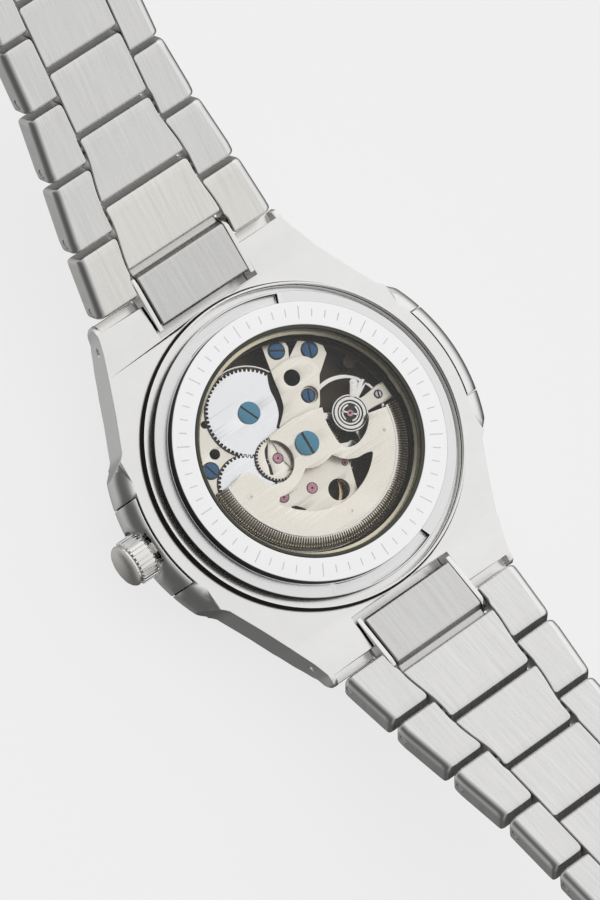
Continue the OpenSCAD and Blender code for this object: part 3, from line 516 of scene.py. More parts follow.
def loft_link(mesh, row, u0, u1, left, right, left_r, right_r):
    """One link between two side edges, given as functions of the place along the row.

    Slot 0 is the link's face and slot 1 the rounded shoulder along a wide edge.
    """
    plain = u1 - FAR_STEPS[0] - u0 - NEAR_STEPS[-1]
    middle = [u0 + NEAR_STEPS[-1] + plain * k / 8 for k in range(1, 8)]
    stations = [u0 + d for d in NEAR_STEPS] + middle + [u1 - d for d in FAR_STEPS]
    rings = []
    for u in stations:
        near, far = u - u0, u1 - u
        pull = inset(near, 0.45) + inset(far, 0.45)
        top, back = face_height(near, far), back_height(near, far)
        xl, xr = left(u) + pull, right(u) - pull
        points = [(xr - 0.3, back), (xr - 0.08, back + 0.08), (xr, back + 0.3)]
        points += [(xr, top - right_r - 0.05), *side_arc(xr, top, right_r, 1), (xr - right_r - 0.06, top)]
        points += [(xl + left_r + 0.06, top), *side_arc(xl, top, left_r, -1)[::-1]]
        points += [(xl, top - left_r - 0.05)]
        points += [(xl, back + 0.3), (xl + 0.08, back + 0.08), (xl + 0.3, back)]
        rings.append([mesh.verts.new(row.at(x, u, v)) for x, v in points])
    count = len(rings[0])
    shoulders = set(range(3, 8)) | set(range(10, 15))
    for a, b in zip(rings, rings[1:]):
        for k in range(count):
            face = mesh.faces.new((a[k], a[(k + 1) % count], b[(k + 1) % count], b[k]))
            wide = (k < 8 and right_r > 0.5) or (k > 9 and left_r > 0.5)
            face.material_index = 1 if k in shoulders and wide else 0
    for ring in (rings[0], rings[-1]):
        mesh.faces.new(ring)


def cylinder_across(mesh, row, u, reach, radius, slot=0, chamfer=0.0, steps=28):
    """A pin across the row, with chamfered ends."""
    rings = []
    for x, r in ((-reach, radius - chamfer), (chamfer - reach, radius), (reach - chamfer, radius),
                 (reach, radius - chamfer)):
        turns = [2 * pi * k / steps for k in range(steps)]
        rings.append([mesh.verts.new(row.at(x, u + r * cos(a), r * sin(a))) for a in turns])
    skin(mesh, rings, slot)
    for ring in (rings[0], rings[-1]):
        mesh.faces.new(ring).material_index = slot


def skin(mesh, rings, slot=0):
    """Joins each ring of points to the next one with faces."""
    for a, b in zip(rings, rings[1:]):
        for k in range(len(a)):
            after = (k + 1) % len(a)
            mesh.faces.new((a[k], a[after], b[after], b[k])).material_index = slot


def as_object(mesh):
    """A scratch object for a modifier; the mesh is used up."""
    bmesh.ops.recalc_face_normals(mesh, faces=mesh.faces)
    data = bpy.data.meshes.new("scratch")
    mesh.to_mesh(data)
    mesh.free()
    made = bpy.data.objects.new("scratch", data)
    bpy.context.scene.collection.objects.link(made)
    return made


def cut(mesh, cutter, slots=1):
    """Takes one closed mesh out of another, which keeps its material indices below slots."""
    body, tool = as_object(mesh), as_object(cutter)
    for _ in range(slots):
        body.data.materials.append(None)
    step = body.modifiers.new("cut", "BOOLEAN")
    step.operation = "DIFFERENCE"
    step.solver = "EXACT"
    step.object = tool
    done = body.evaluated_get(bpy.context.evaluated_depsgraph_get()).to_mesh()
    result = bmesh.new()
    result.from_mesh(done)
    for scratch in (body, tool):
        data = scratch.data
        bpy.data.objects.remove(scratch)
        bpy.data.meshes.remove(data)
    return result


def mirrored(edge):
    return lambda u: -edge(u)


def link_row(side, i):
    """A row of two outer links and a centre link, with its hinge pin and its fixing pin."""
    row = Row(side, i)
    ends = (FIRST_OUTER_U if i == 0 else OUTER_U[0], OUTER_U[1])
    inner, outer, centre = partial(gap_edge, i), partial(outer_edge, i), partial(centre_edge, i)
    mesh = bmesh.new()
    loft_link(mesh, row, *ends, inner, outer, INNER_ROUND, OUTER_ROUND)
    loft_link(mesh, row, *ends, mirrored(outer), mirrored(inner), OUTER_ROUND, INNER_ROUND)
    loft_link(mesh, row, *CENTRE_U, mirrored(centre), centre, CENTRE_ROUND, CENTRE_ROUND)
    cutter = bmesh.new()
    cylinder_across(cutter, row, 0, 20, PIN_R + 0.02)
    cylinder_across(cutter, row, PITCH, 20, PIN_R + 0.04)
    mesh = cut(mesh, cutter, 2)
    cylinder_across(mesh, row, 0, outer(0) - 0.12, PIN_R, 1, 0.1)
    cylinder_across(mesh, row, FIX_PIN_U, centre(FIX_PIN_U) + 0.5, PIN_R, 1, 0.1)
    # Painted light: the first upper row gets a lighter, warmer copy of the link steel
    face = "lit_link" if i == 0 and side == "upper" else "link"
    return finish_mesh(f"{side}_links_{i + 1}", mesh, [face, "shoulder"])


for i in range(6):
    link_row("upper", i)
for i in range(5):
    link_row("lower", i)
refined("end_links", ["end_link"], 0.2, segments=3)
refined("end_plates", ["polished"], 0.08)
refined("lug_pins", ["bright"], 0.06)


# ---------------------------------------------------------------- flat and turned pieces

def arc(centre, radius, start, end, count=24):
    """Points on an arc, given in degrees."""
    return [(centre[0] + radius * cos(radians(start + (end - start) * k / count)),
             centre[1] + radius * sin(radians(start + (end - start) * k / count))) for k in range(count + 1)]


def circle(centre, radius, count=48):
    return arc(centre, radius, 0, 360, count)[:-1]


def flowing(points, corners=(), steps=5):
    """A closed outline that flows through the points and turns sharply only at the corners."""
    out, count = [], len(points)
    for k in range(count):
        a, b = Vector(points[k]), Vector(points[(k + 1) % count])
        before = a if k in corners else Vector(points[k - 1])
        after = b if (k + 1) % count in corners else Vector(points[(k + 2) % count])
        for step in range(steps):
            t = step / steps
            out.append(tuple(0.5 * (2 * a + (b - before) * t + (2 * before - 5 * a + 4 * b - after) * t * t
                                    + (3 * a - before - 3 * b + after) * t ** 3)))
    return out


def plate_mesh(outlines, z0, z1, edge, rounds=2):
    """A flat piece between two heights with rounded edges: its outside, and then its holes."""
    shape = bpy.data.curves.new("scratch", "CURVE")
    shape.dimensions = "2D"
    shape.fill_mode = "BOTH"
    shape.extrude = ((z1 - z0) / 2 - edge) * MM
    shape.bevel_depth = edge * MM
    shape.bevel_resolution = rounds - 1
    shape.offset = -edge * MM
    for outline in outlines:
        spline = shape.splines.new("POLY")
        spline.points.add(len(outline) - 1)
        for point, place in zip(spline.points, outline):
            point.co = (place[0] * MM, place[1] * MM, 0, 1)
        spline.use_cyclic_u = True
    holder = bpy.data.objects.new("scratch", shape)
    bpy.context.scene.collection.objects.link(holder)
    done = holder.evaluated_get(bpy.context.evaluated_depsgraph_get()).to_mesh()
    mesh = bmesh.new()
    mesh.from_mesh(done)
    bpy.data.objects.remove(holder)
    bpy.data.curves.remove(shape)
    bmesh.ops.remove_doubles(mesh, verts=mesh.verts, dist=WELD)
    bmesh.ops.translate(mesh, verts=mesh.verts, vec=(0, 0, (z0 + z1) / 2 * MM))
    return mesh


def lathe_mesh(profile, steps=96, centre=(0, 0), axis="Z", start=0, wave=None, span=360):
    """Turns a closed outline of radius and height round an axis.

    wave takes a radius, a height and the number of the step, and gives the radius and height there.
    """
    mesh = bmesh.new()
    rings = []
    whole = span == 360
    for k in range(steps if whole else steps + 1):
        a = radians(start + span * k / steps)
        ring = []
        for r, z in profile:
            if wave:
                r, z = wave(r, z, k)
            if axis == "Z":
                place = (centre[0] + r * cos(a), centre[1] + r * sin(a), z)
            else:
                place = (z, centre[0] + r * cos(a), centre[1] + r * sin(a))
            ring.append(mesh.verts.new(Vector(place) * MM))
        rings.append(ring)
    skin(mesh, rings + rings[:1] if whole else rings)
    if not whole:
        mesh.faces.new(rings[0])
        mesh.faces.new(rings[-1])
    bmesh.ops.remove_doubles(mesh, verts=mesh.verts, dist=WELD)
    bmesh.ops.dissolve_degenerate(mesh, edges=mesh.edges, dist=0.0002 * MM)
    return mesh


def eased(profile, ease, rounds=3):
    """Rounds the corners of a closed outline."""
    out, count = [], len(profile)
    for k in range(count):
        before, here, after = Vector(profile[k - 1]), Vector(profile[k]), Vector(profile[(k + 1) % count])
        to_before, to_after = before - here, after - here
        reach = min(ease, to_before.length * 0.45, to_after.length * 0.45)
        if here.x < 0.001 or reach < 0.001:
            out.append(tuple(here))
            continue
        a = here + to_before.normalized() * reach
        b = here + to_after.normalized() * reach
        for step in range(rounds + 1):
            t = step / rounds
            out.append(tuple(a * (1 - t) ** 2 + here * 2 * t * (1 - t) + b * t * t))
    return out


def joined(*meshes):
    """Several meshes in one, each with its own material index."""
    whole = bmesh.new()
    for index, mesh in enumerate(meshes):
        for face in mesh.faces:
            face.material_index = index
        part = bpy.data.meshes.new("scratch")
        mesh.to_mesh(part)
        mesh.free()
        whole.from_mesh(part)
        bpy.data.meshes.remove(part)
    return whole


def piece(node, slots, *meshes):
    """A piece made of one mesh for each material slot."""
    return finish_mesh(node, joined(*meshes), slots)


def gear_outline(centre, teeth, module, phase=0.0):
    """A wheel with trapezoid teeth, one of them in the direction of the phase."""
    root, tip = module * (teeth / 2 - 1.1), module * (teeth / 2 + 0.75)
    out = []
    for k in range(teeth):
        for share, r in ((-0.27, root), (-0.11, tip), (0.11, tip), (0.27, root)):
            a = radians(phase + (k + share) * 360 / teeth)
            out.append((centre[0] + r * cos(a), centre[1] + r * sin(a)))
    return out


def spoke_holes(centre, count, r_in, r_out, gap, turn=20):
    """The windows between a wheel's spokes."""
    holes = []
    for k in range(count):
        a0, a1 = turn + k * 360 / count + gap, turn + (k + 1) * 360 / count - gap
        holes.append(arc(centre, r_out, a0, a1, 12) + arc(centre, r_in, a1 - gap, a0 + gap, 6))
    return holes


def slotted_screw(centre, radius, z0, z1, slot_deg, slot_w=0.24, deep=0.14):
    """A screw head with a domed edge and a straight slot, and a near-black sheet of painted shade for the
    floor of the slot.
    """
    head = lathe_mesh(eased([(0, z0), (radius, z0), (radius, z1), (0, z1)], 0.07), 48, centre)
    turn = Matrix.Rotation(radians(slot_deg), 4, "Z")
    place = Matrix.Translation(Vector((centre[0], centre[1], z1)) * MM)
    pieces = []
    for length, width, high, drop in ((3, slot_w, 2 * deep, 0), (1.96, slot_w * 0.98, 0.02, deep - 0.012)):
        shape = bmesh.new()
        bmesh.ops.create_cube(shape, size=1)
        size = Matrix.Diagonal((length * radius * MM, width * MM, high * MM, 1))
        lower = Matrix.Translation(Vector((0, 0, -drop)) * MM)
        bmesh.ops.transform(shape, matrix=place @ lower @ turn @ size, verts=shape.verts)
        pieces.append(shape)
    return cut(head, pieces[0]), pieces[1]


def coil(centre, r0, r1, turns, width, z0, z1, per_turn=40):
    """A flat spiral ribbon."""
    count = int(turns * per_turn)
    line = [(r0 + (r1 - r0) * k / count, 2 * pi * turns * k / count) for k in range(count + 1)]
    edge = [((r + width / 2) * cos(a), (r + width / 2) * sin(a)) for r, a in line]
    edge += [((r - width / 2) * cos(a), (r - width / 2) * sin(a)) for r, a in reversed(line)]
    mesh = bmesh.new()
    rings = [[mesh.verts.new(Vector((centre[0] + x, centre[1] + y, z)) * MM) for x, y in edge]
             for z in (z0, z1)]
    skin(mesh, rings)
    total = len(edge)
    for ring in rings:
        for k in range(count):
            mesh.faces.new((ring[k], ring[k + 1], ring[total - 2 - k], ring[total - 1 - k]))
    return mesh


def middle_of(joint):
    place = JOINTS[joint]["pos_m"]
    return place[0] / MM, place[1] / MM


BARREL = middle_of("barrel_turn")
CROWN_WHEEL = middle_of("crown_wheel_turn")
WINDING = middle_of("winding_wheel_turn")
THIRD = middle_of("third_turn")
ESCAPE = middle_of("escape_turn")
PALLET = middle_of("pallet_rock")
BALANCE = middle_of("balance_swing")
MOTION = middle_of("minute_wheel_turn")


# ---------------------------------------------------------------- case and plain pieces

COLLAR_R = 19.3
COLLAR_Z = 9.4


def collar_shade(normal, middle):
    """Slot 1, painted shade, for the outside of the collar round the screwed back; slot 0 for the rest."""
    out = hypot(middle.x, middle.y)
    outwards = normal.x * middle.x + normal.y * middle.y > 0.7 * out
    return 1 if out < COLLAR_R and middle.z > COLLAR_Z and outwards else 0


refined("case_middle", ["case", "shade"], 0.12, collar_shade)
# The slots and the width of the rounded edges of nodes that keep their CAD shape
PLAIN = {
    "bezel": (["polished"], 0.1), "flank_guards": (["polished"], 0.12),
    "crown_tube": (["polished"], 0.05), "dial_plate": (["dial"], 0.03), "chapter_ring": (["dial"], 0.05),
    "pallet_bridge": (["bright"], 0.03), "barrel": (["brass"], 0.03), "minute_hand": (["index"], 0.03),
    "seconds_hand": (["red"], 0.02), "hour_hand": (["index"], 0.03), "minute_wheel": (["brass"], 0.015),
    "centre_wheel": (["brass"], 0.015), "pallet_fork": (["wheel_steel"], 0.015), "stem": (["spring"], 0.04),
    "setting_lever": (["nickel"], 0.03), "clasp_cover": (["link"], 0.12),
    "clasp_blade_long": (["polished"], 0.08), "clasp_blade_short": (["polished"], 0.08),
    "push_button_left": (["polished"], 0.1),
    "push_button_right": (["polished"], 0.1), "front_crystal": (["crystal"], 0.05),
}
for node, (slots, width) in PLAIN.items():
    refined(node, slots, width)


def ring_mesh(r_out, r_in, z0, z1, ease=0.05, steps=144, centre=(0, 0)):
    """A turned ring with rounded corners."""
    return lathe_mesh(eased([(r_in, z0), (r_out, z0), (r_out, z1), (r_in, z1)], ease), steps, centre)


def block(centre, size, turn_deg=0):
    """A plain block, used as a cutter and for the tick marks."""
    mesh = bmesh.new()
    bmesh.ops.create_cube(mesh, size=1)
    grow = Matrix.Diagonal((size[0] * MM, size[1] * MM, size[2] * MM, 1))
    place = Matrix.Rotation(radians(turn_deg), 4, "Z") @ Matrix.Translation(Vector(centre) * MM)
    bmesh.ops.transform(mesh, matrix=place @ grow, verts=mesh.verts)
    return mesh


def merged(meshes):
    """Several meshes in one, all with material index 0."""
    whole = joined(*meshes)
    for face in whole.faces:
        face.material_index = 0
    return whole


def paint_shade_on_walls(mesh, plain, wall):
    """Gives the upright sides of a piece another material: painted shade along its walls."""
    for face in mesh.faces:
        if face.material_index == plain and abs(face.normal.z) < 0.45:
            face.material_index = wall
    return mesh


# ---------------------------------------------------------------- display back and crown

RIM_TOP = 12.4
RIM_IN = 13.32
RIM_R = 16.05
FLANGE_TOP = 10.65
FLANGE_R = 17.65
WINDOW_R = 12.92
WINDOW_Z = 11.2
RIM, LIP, TICK, FLANGE, SHADE = range(5)

screwed_back = lathe_mesh(eased([(14.6, 8.25), (15.65, 8.25), (15.65, 9.06), (FLANGE_R, 9.06),
                                 (FLANGE_R, FLANGE_TOP), (RIM_R, FLANGE_TOP), (RIM_R, RIM_TOP),
                                 (RIM_IN, RIM_TOP), (RIM_IN, 11.25), (14.6, 11.0)], 0.14), 288)
notches = merged([plate_mesh([arc((0, 0), 17.45, start, start + 44)
                              + arc((0, 0), 16.2, start + 44, start)], 9.8, 11.2, 0.05)
                  for start in (66, 246)])
ticks = merged([block((14.75, 0, RIM_TOP), (0.9 if k % 5 else 1.5, 0.12, 0.012), 6 * k)
                for k in range(60)])
lip = lathe_mesh([(12.5, 10.8), (12.55, 10.75), (14.6, 10.75), (14.6, 11.2), (12.75, 11.2),
                  (12.5, 11.0)], 288)


def back_slot(normal, middle):
    """The walls of rim, flange and notches lie in shade; the flange has its own finish."""
    out = hypot(middle.x, middle.y)
    wall = abs(normal.z) < 0.6 and 9.1 < middle.z < 12.33
    if wall and (15.9 < out < 17.5 or 17.6 < out):
        return SHADE
    return FLANGE if middle.z < 11.0 and out > 15.9 else RIM


back = joined(cut(screwed_back, notches), lip, ticks)
for face in back.faces:
    if face.material_index == RIM:
        face.material_index = back_slot(face.normal, face.calc_center_median() / MM)
finish_mesh("caseback_ring", back, ["rim", "gold_ring", "tick", "flange", "shade"])
piece("window_gasket", ["gasket"],
      ring_mesh(13.3, WINDOW_R, WINDOW_Z, 12.36, 0.08, 288))
piece("window_crystal", ["crystal"],
      lathe_mesh(eased([(0, WINDOW_Z), (WINDOW_R, WINDOW_Z), (WINDOW_R, 12.32), (0, 12.32)], 0.2),
                 192))

CROWN_Y = 6.4
CAP_X = -24.14


def crown_wave(r, x, k):
    """Cuts thirty grooves into the grip of the crown."""
    if r > 2.6 and k % 8 in (0, 1, 7):
        r -= 0.2
    return r, x


grip = [(1.5, -21.9), (1.5, -21.55), (2.45, -21.55), (2.62, -21.62), (2.75, -21.8), (2.75, -22.4),
        (2.75, -23.1), (2.75, -23.7), (2.58, -23.86), (2.35, -23.9), (2.35, -24.12), (2.5, -24.16),
        (2.56, -24.26), (2.5, -24.5), (2.3, -24.78), (1.95, -25.02), (1.5, -25.18), (1.0, -25.29),
        (0.5, -25.34), (0, -25.35), (0, -23.2), (0.6, -23.2), (0.6, -21.9)]
crown = lathe_mesh(grip, 240, (0, CROWN_Y), "X", 0, crown_wave)
for face in crown.faces:
    face.material_index = 1 if face.calc_center_median().x < CAP_X * MM else 0
finish_mesh("crown", crown, ["polished", "cap"], 26)


# ---------------------------------------------------------------- plates and bridges

# Heights are in mm in the shared frame, from the dial at the bottom up to the rotor.
MOVEMENT_R = 12.8
BRIDGE_R = 12.2
PLATE_Z = (4.6, 5.6)
BARREL_BRIDGE_Z = (8.0, 8.85)
TRAIN_BRIDGE_Z = (8.2, 9.2)
FINGER_Z = (9.37, 9.8)
COCK_Z = (8.9, 9.3)
BRIDGE_EDGE = 0.07
POST_R = 0.75
POSTS = ((10.6, 5.0), (-11.2, 3.6), (3.7, 11.0), (-9.4, -6.6), (7.6, -8.4))
LARGE_WINDOW = (3.2, 7.1)


def rod(centre, radius, z0, z1, steps=24):
    """A plain pin or disc, as a part of a larger piece."""
    return lathe_mesh([(0, z0), (radius, z0), (radius, z1), (0, z1)], steps, centre)


def about(centre, turn_deg, points):
    """Points given from a centre and turned about it."""
    c, s = cos(radians(turn_deg)), sin(radians(turn_deg))
    return [(centre[0] + x * c - y * s, centre[1] + x * s + y * c) for x, y in points]


floor_holes = [circle((0, 0), 0.62), circle(BARREL, 0.94), circle(BALANCE, 0.2, 16),
               circle(THIRD, 0.16, 16), circle(ESCAPE, 0.16, 16)]
base = plate_mesh([circle((0, 0), MOVEMENT_R, 160)] + floor_holes, *PLATE_Z, 0.06)
posts = [rod(spot, POST_R, 5.5, 8.0, 32) for spot in POSTS]
wall = cut(ring_mesh(MOVEMENT_R, 12.25, 5.5, 8.0, 0.06), block((-11.7, 0, 7.1), (4.2, 3.4, 4.0)))
piece("main_plate", ["deep_plate_shade"],
      base, wall, rod(MOTION, 0.3, 4.0, 4.7, 32), *posts)
spacer = cut(ring_mesh(15.6, 12.88, 4.4, 8.2, 0.1), block((-14.5, 0, 6.4), (4, 2.0, 2.0)))
piece("movement_ring", ["deep_plate_shade"], spacer)

barrel_edge = ([(-11.92, -2.6)] + arc((0, 0), BRIDGE_R, 191, 105, 30)
               + arc(BARREL, 5.15, 88, -63, 40)
               + [(-0.9, 1.6), (-1.3, -0.4), (-4.6, -1.0), (-6.0, -2.6)])
barrel_holes = [circle(BARREL, 1.35), circle(CROWN_WHEEL, 0.75), circle(WINDING, 0.3, 20),
                circle((-9.15, 4.8), 0.6, 28), circle((-8.2, 8.2), 0.42, 24)]
rib = lathe_mesh(eased([(5.32, 8.5), (5.5, 8.5), (5.5, 9.2), (5.32, 9.2)], 0.05), 48, BARREL,
                 "Z", 22, span=75)
# Painted shade: near-black rings on the bridge under the teeth of the ratchet and crown wheels
shade_under_teeth = [ring_mesh(5.15, 4.5, 8.8, 8.87, 0.01, 96, BARREL),
               ring_mesh(3.42, 2.7, 8.8, 8.87, 0.01, 72, CROWN_WHEEL)]
piece("barrel_bridge", ["nickel", "bright", "gap_shade"],
      plate_mesh([barrel_edge] + barrel_holes, *BARREL_BRIDGE_Z, BRIDGE_EDGE), rib,
      merged(shade_under_teeth))

train_edge = (arc(BARREL, 5.3, -62, 24, 24) + [(1.75, 9.1), (2.15, 10.7), (2.5, 11.94)]
              + arc((0, 0), BRIDGE_R, 76, 67, 6)
              + [(5.15, 10.8), (5.1, 10.2), (4.5, 9.2), (6.45, 10.3), (8.05, 9.1), (8.7, 8.2),
                 (8.5, 7.2), (6.75, 5.9), (6.0, 5.4), (4.45, 2.9), (3.2, 2.2), (1.2, 1.6),
                 (1.2, -2.0), (3.0, -3.3), (3.45, -3.9), (3.3, -4.9), (2.45, -7.4), (2.35, -8.2),
                 (7.0, -7.2)]
              + arc((0, 0), BRIDGE_R, -32.4, -167, 50) + [(-10.27, -2.75)]
              + arc(CROWN_WHEEL, 3.5, -128, -52, 16) + [(-4.5, -1.15), (-1.15, -0.55), (-0.75, 1.7)])
through = [circle((0, 0), 0.74), circle((0.55, -6.35), 1.25), circle(LARGE_WINDOW, 0.95),
           flowing([(-5.3, -4.95), (-4.8, -5.15), (-4.3, -5.7), (-4.05, -6.15), (-4.6, -5.75),
                    (-5.0, -5.4)])]
lower_layer = plate_mesh([train_edge] + through, *TRAIN_BRIDGE_Z, BRIDGE_EDGE)
finger = [(-1.34, 3.3), (-0.24, 4.2), (0.46, 5.0), (0.96, 6.5), (1.16, 7.5), (1.56, 9.1),
          (3.76, 9.2), (5.26, 8.8), (6.26, 8.0), (6.56, 7.0), (6.45, 5.95), (6.06, 5.5),
          (4.26, 2.9), (3.2, 1.9), (0.2, 1.7), (-0.9, 2.4)]
finger_holes = [circle(LARGE_WINDOW, 0.95), circle((3.8, 4.4), 1.0)]
upper_layer = plate_mesh([flowing(finger, (0, 5, 6, 10, 11, 12, 13))] + finger_holes,
                         *FINGER_Z, BRIDGE_EDGE)
filler = plate_mesh([arc(BARREL, 5.3, -38, 24, 20) + finger[5:14]] + finger_holes,
                    9.15, 9.42, 0.02)
pin_ring = ring_mesh(0.45, 0.36, 9.76, FINGER_Z[1], 0.01, 32, (5.45, 6.85))
boss = ring_mesh(0.92, 0.74, 9.2, 9.9, 0.04, 40)
# Painted shadow: a thin near-black sheet lies on the ratchet wheel along the finger's edge
shadow = [(1.2, 9.05), (0.75, 8.2), (0.4, 7.2), (0.28, 6.3), (0.05, 5.4), (-0.45, 4.4),
          (-1.5, 3.4), (-0.9, 2.9), (0.6, 4.4), (1.2, 6.5), (1.6, 8.9)]
finger_shadow_sheet = plate_mesh([flowing(shadow, (0, 6, 10))], 9.33, 9.37, 0.01)
bridge = joined(merged([lower_layer, upper_layer, filler, pin_ring, boss]), finger_shadow_sheet)
finish_mesh("train_bridge", paint_shade_on_walls(bridge, 0, 2), ["nickel", "shade", "edge"])

arm = about(BALANCE, 0, [(0, -1.1), (2.2, -0.95), (4.4, -1.15), (5.4, -1.15), (5.4, 0.95),
                         (4.4, 0.95), (2.2, 0.75), (0, 1.1)])
foot = [(11.2, -1.05), (12.1, -1.0), (12.15, 0), (12.1, 1.0), (11.2, 1.05)]
piece("balance_cock", ["nickel"],
      plate_mesh([flowing(arm, (0, 2, 3, 4, 5, 7))], *COCK_Z, BRIDGE_EDGE),
      ring_mesh(1.22, 0.16, *COCK_Z, 0.06, 48, BALANCE), plate_mesh([foot], 8.0, 9.0, 0.05))

REGULATOR_DEG = 48
SETTING_Z = (9.42, 9.5)
lever = about(BALANCE, REGULATOR_DEG, [(1.86, -0.3), (3.2, -0.42), (3.6, -0.5), (3.95, -0.3),
                                       (4.05, 0), (3.95, 0.3), (3.6, 0.5), (3.2, 0.42),
                                       (1.86, 0.3)])
pins = [rod(spot, 0.2, 9.5, 9.58, 20)
        for spot in about(BALANCE, REGULATOR_DEG, [(3.65, 0), (2.9, 0.02)])]
rings = [ring_mesh(2.15, 1.98, 9.3, 9.46, 0.04, 64, BALANCE),
         ring_mesh(1.86, 1.5, 9.3, 9.52, 0.05, 64, BALANCE),
         ring_mesh(1.36, 1.14, 9.3, 9.46, 0.04, 48, BALANCE)]
# Painted shade: a near-black disc under the regulator's rings, so that the gaps between them look dark
regulator_shade_disc = ring_mesh(2.05, 0.3, 9.29, 9.32, 0.005, 64, BALANCE)
lyre = [plate_mesh([arc(BALANCE, 1.02, t, t + 130, 20) + arc(BALANCE, 0.82, t + 130, t, 20)],
                   *SETTING_Z, 0.02) for t in (70, 250)]
tongue = [(0.35, -0.09), (0.95, -0.12), (0.95, 0.12), (0.35, 0.09)]
tongues = [plate_mesh([about(BALANCE, t, tongue)], *SETTING_Z, 0.02) for t in (135, 315)]
piece("regulator", ["bright", "gap_shade"],
      merged([plate_mesh([flowing(lever, (0, 8))], 9.32, 9.52, 0.05),
              *pins, *rings, *lyre, *tongues]), regulator_shade_disc)


# ---------------------------------------------------------------- jewels and bridge screws

JEWEL_BORE = 0.12


def jewel(centre, radius, z):
    """A ruby bearing with a rounded rim, and a dark mesh of painted shade for its bore and the edge of its
    seat.
    """
    stone = lathe_mesh([(JEWEL_BORE, z - 0.3), (radius, z - 0.3), (radius, z),
                        (radius * 0.9, z + 0.04), (0.2, z + 0.045), (JEWEL_BORE, z)], 40, centre)
    bore = rod(centre, JEWEL_BORE + 0.01, z - 0.2, z + 0.02, 16)
    seat = ring_mesh(radius + 0.08, radius - 0.01, z - 0.03, z + 0.015, 0.005, 40, centre)
    return stone, merged([bore, seat])


# Centre, radius and height of the top
JEWELS = ((THIRD, 0.58, 9.22), ((-5.4, -3.55), 0.58, 9.22), (BALANCE, 0.4, 9.42),
          (PALLET, 0.35, 7.26), (ESCAPE, 0.3, 9.2))
stones = [jewel(*values) for values in JEWELS]
piece("jewels", ["ruby", "gap_shade"],
      merged([stone for stone, _ in stones]), merged([dark for _, dark in stones]))

# Centre, radius, height of the top and direction of the slot; the last one isn't blued
SCREWS = (((3.65, 10.6), 0.9, 9.38, -32), ((7.0, 8.65), 0.9, 9.38, 68),
          ((3.8, 4.4), 0.72, 9.38, 65), ((-10.65, 3.5), 0.9, 9.03, 105),
          ((7.6, -8.4), 0.85, 9.38, 20), ((-9.0, -6.6), 0.85, 9.38, 80),
          ((10.8, 0.1), 0.4, 9.46, 70))
HEAD_H = 0.18
# Painted shade: near-black rings round the screw heads
screw_shade_rings = [ring_mesh(r + 0.13, r + 0.01, z - HEAD_H, z - 0.12, 0.01, 40, spot)
           for spot, r, z, _ in SCREWS]
heads = [slotted_screw(spot, r, z - HEAD_H, z, turn, 0.2) for spot, r, z, turn in SCREWS]
piece("bridge_screws", ["blued", "spring", "gap_shade"],
      merged([head for head, _ in heads[:-1]]), heads[-1][0],
      merged(screw_shade_rings + [floor for _, floor in heads]))


# ---------------------------------------------------------------- rotor and winding wheels

ROTOR_Z = (10.2, 10.65)
HEAVY_FROM = 175.3
HEAVY_SPAN = 177.4
HEAVY_STEPS = 354
GROOVE_EVERY = 3
GROOVE_DEPTH = 0.12
# Centre of each dimple, the radius of its raised ring and of its dark floor, a disc of painted shade
DIMPLES = (((-9.05, -1.4), 0.35, 0.14), ((8.4, -3.6), 0.4, 0.18), ((-0.15, -9.1), 0.32, 0.12))

hub_side = [(10.3, -1.58), (8.0, -1.05), (7.6, -1.8), (6.5, -2.7), (5.0, -3.2), (3.7, -2.9),
            (3.25, -2.0), (3.2, -1.05), (3.4, 0.8), (3.95, 2.4), (2.8, 2.8), (1.4, 3.05),
            (0, 3.2), (-1.6, 3.15), (-3.3, 3.0)]
rotor_edge = (arc((0, 0), 10.5, 175, 351.3, 90) + flowing(hub_side, (0, 1, 9, 14))[:-4]
              + arc((-4.6, 0.4), 2.5, 62, -122, 30)
              + [(-6.2, -1.7), (-6.6, -1.0), (-7.1, 0.2), (-7.5, 0.85), (-8.0, 1.15), (-8.5, 1.3),
                 (-9.3, 1.05)])
window_side = [(-6.55, -3.7), (-6.2, -3.35), (-5.4, -3.5), (-4.5, -3.45), (-3.5, -3.2),
               (-2.7, -2.8), (-1.8, -2.3), (-0.9, -2.75), (0.3, -2.9), (1.7, -2.7), (2.4, -3.6),
               (3.0, -4.1), (4.0, -4.55), (5.0, -4.65), (5.8, -4.85)]
rotor_window = flowing(window_side, (0, 1, 6, 9, 14))[:-4] + arc((0, 0), 7.75, -41, -149, 50)
sheet = plate_mesh([rotor_edge, rotor_window, circle((0, 0), 0.74)], *ROTOR_Z, 0.07)
ridge = lathe_mesh(eased([(10.4, 10.3), (10.7, 10.3), (10.7, 10.68), (10.4, 10.68)], 0.08), 180,
                   (0, 0), "Z", 175.2, span=177)


def knurl(r, z, k):
    """Cuts every third step of the heavy rim's top down into a groove."""
    return (r, z - GROOVE_DEPTH) if k % GROOVE_EVERY == 0 and z > 10.1 else (r, z)


heavy = lathe_mesh([(10.78, 9.55), (12.0, 9.55), (12.08, 9.7), (12.08, 9.98), (12.0, 10.14),
                    (11.8, 10.28), (11.45, 10.46), (11.15, 10.6), (10.9, 10.68), (10.78, 10.62)],
                   HEAVY_STEPS, (0, 0), "Z", HEAVY_FROM, knurl, HEAVY_SPAN)
under = lathe_mesh([(10.3, 9.9), (10.9, 9.9), (10.9, 10.3), (10.3, 10.3)], 120, (0, 0), "Z",
                   175.4, span=177)
hub = ring_mesh(1.9, 1.04, 9.95, 10.22, 0.05, 64)
dimples = [ring_mesh(r, r - 0.1, 10.62, 10.67, 0.015, 32, spot) for spot, r, _ in DIMPLES]
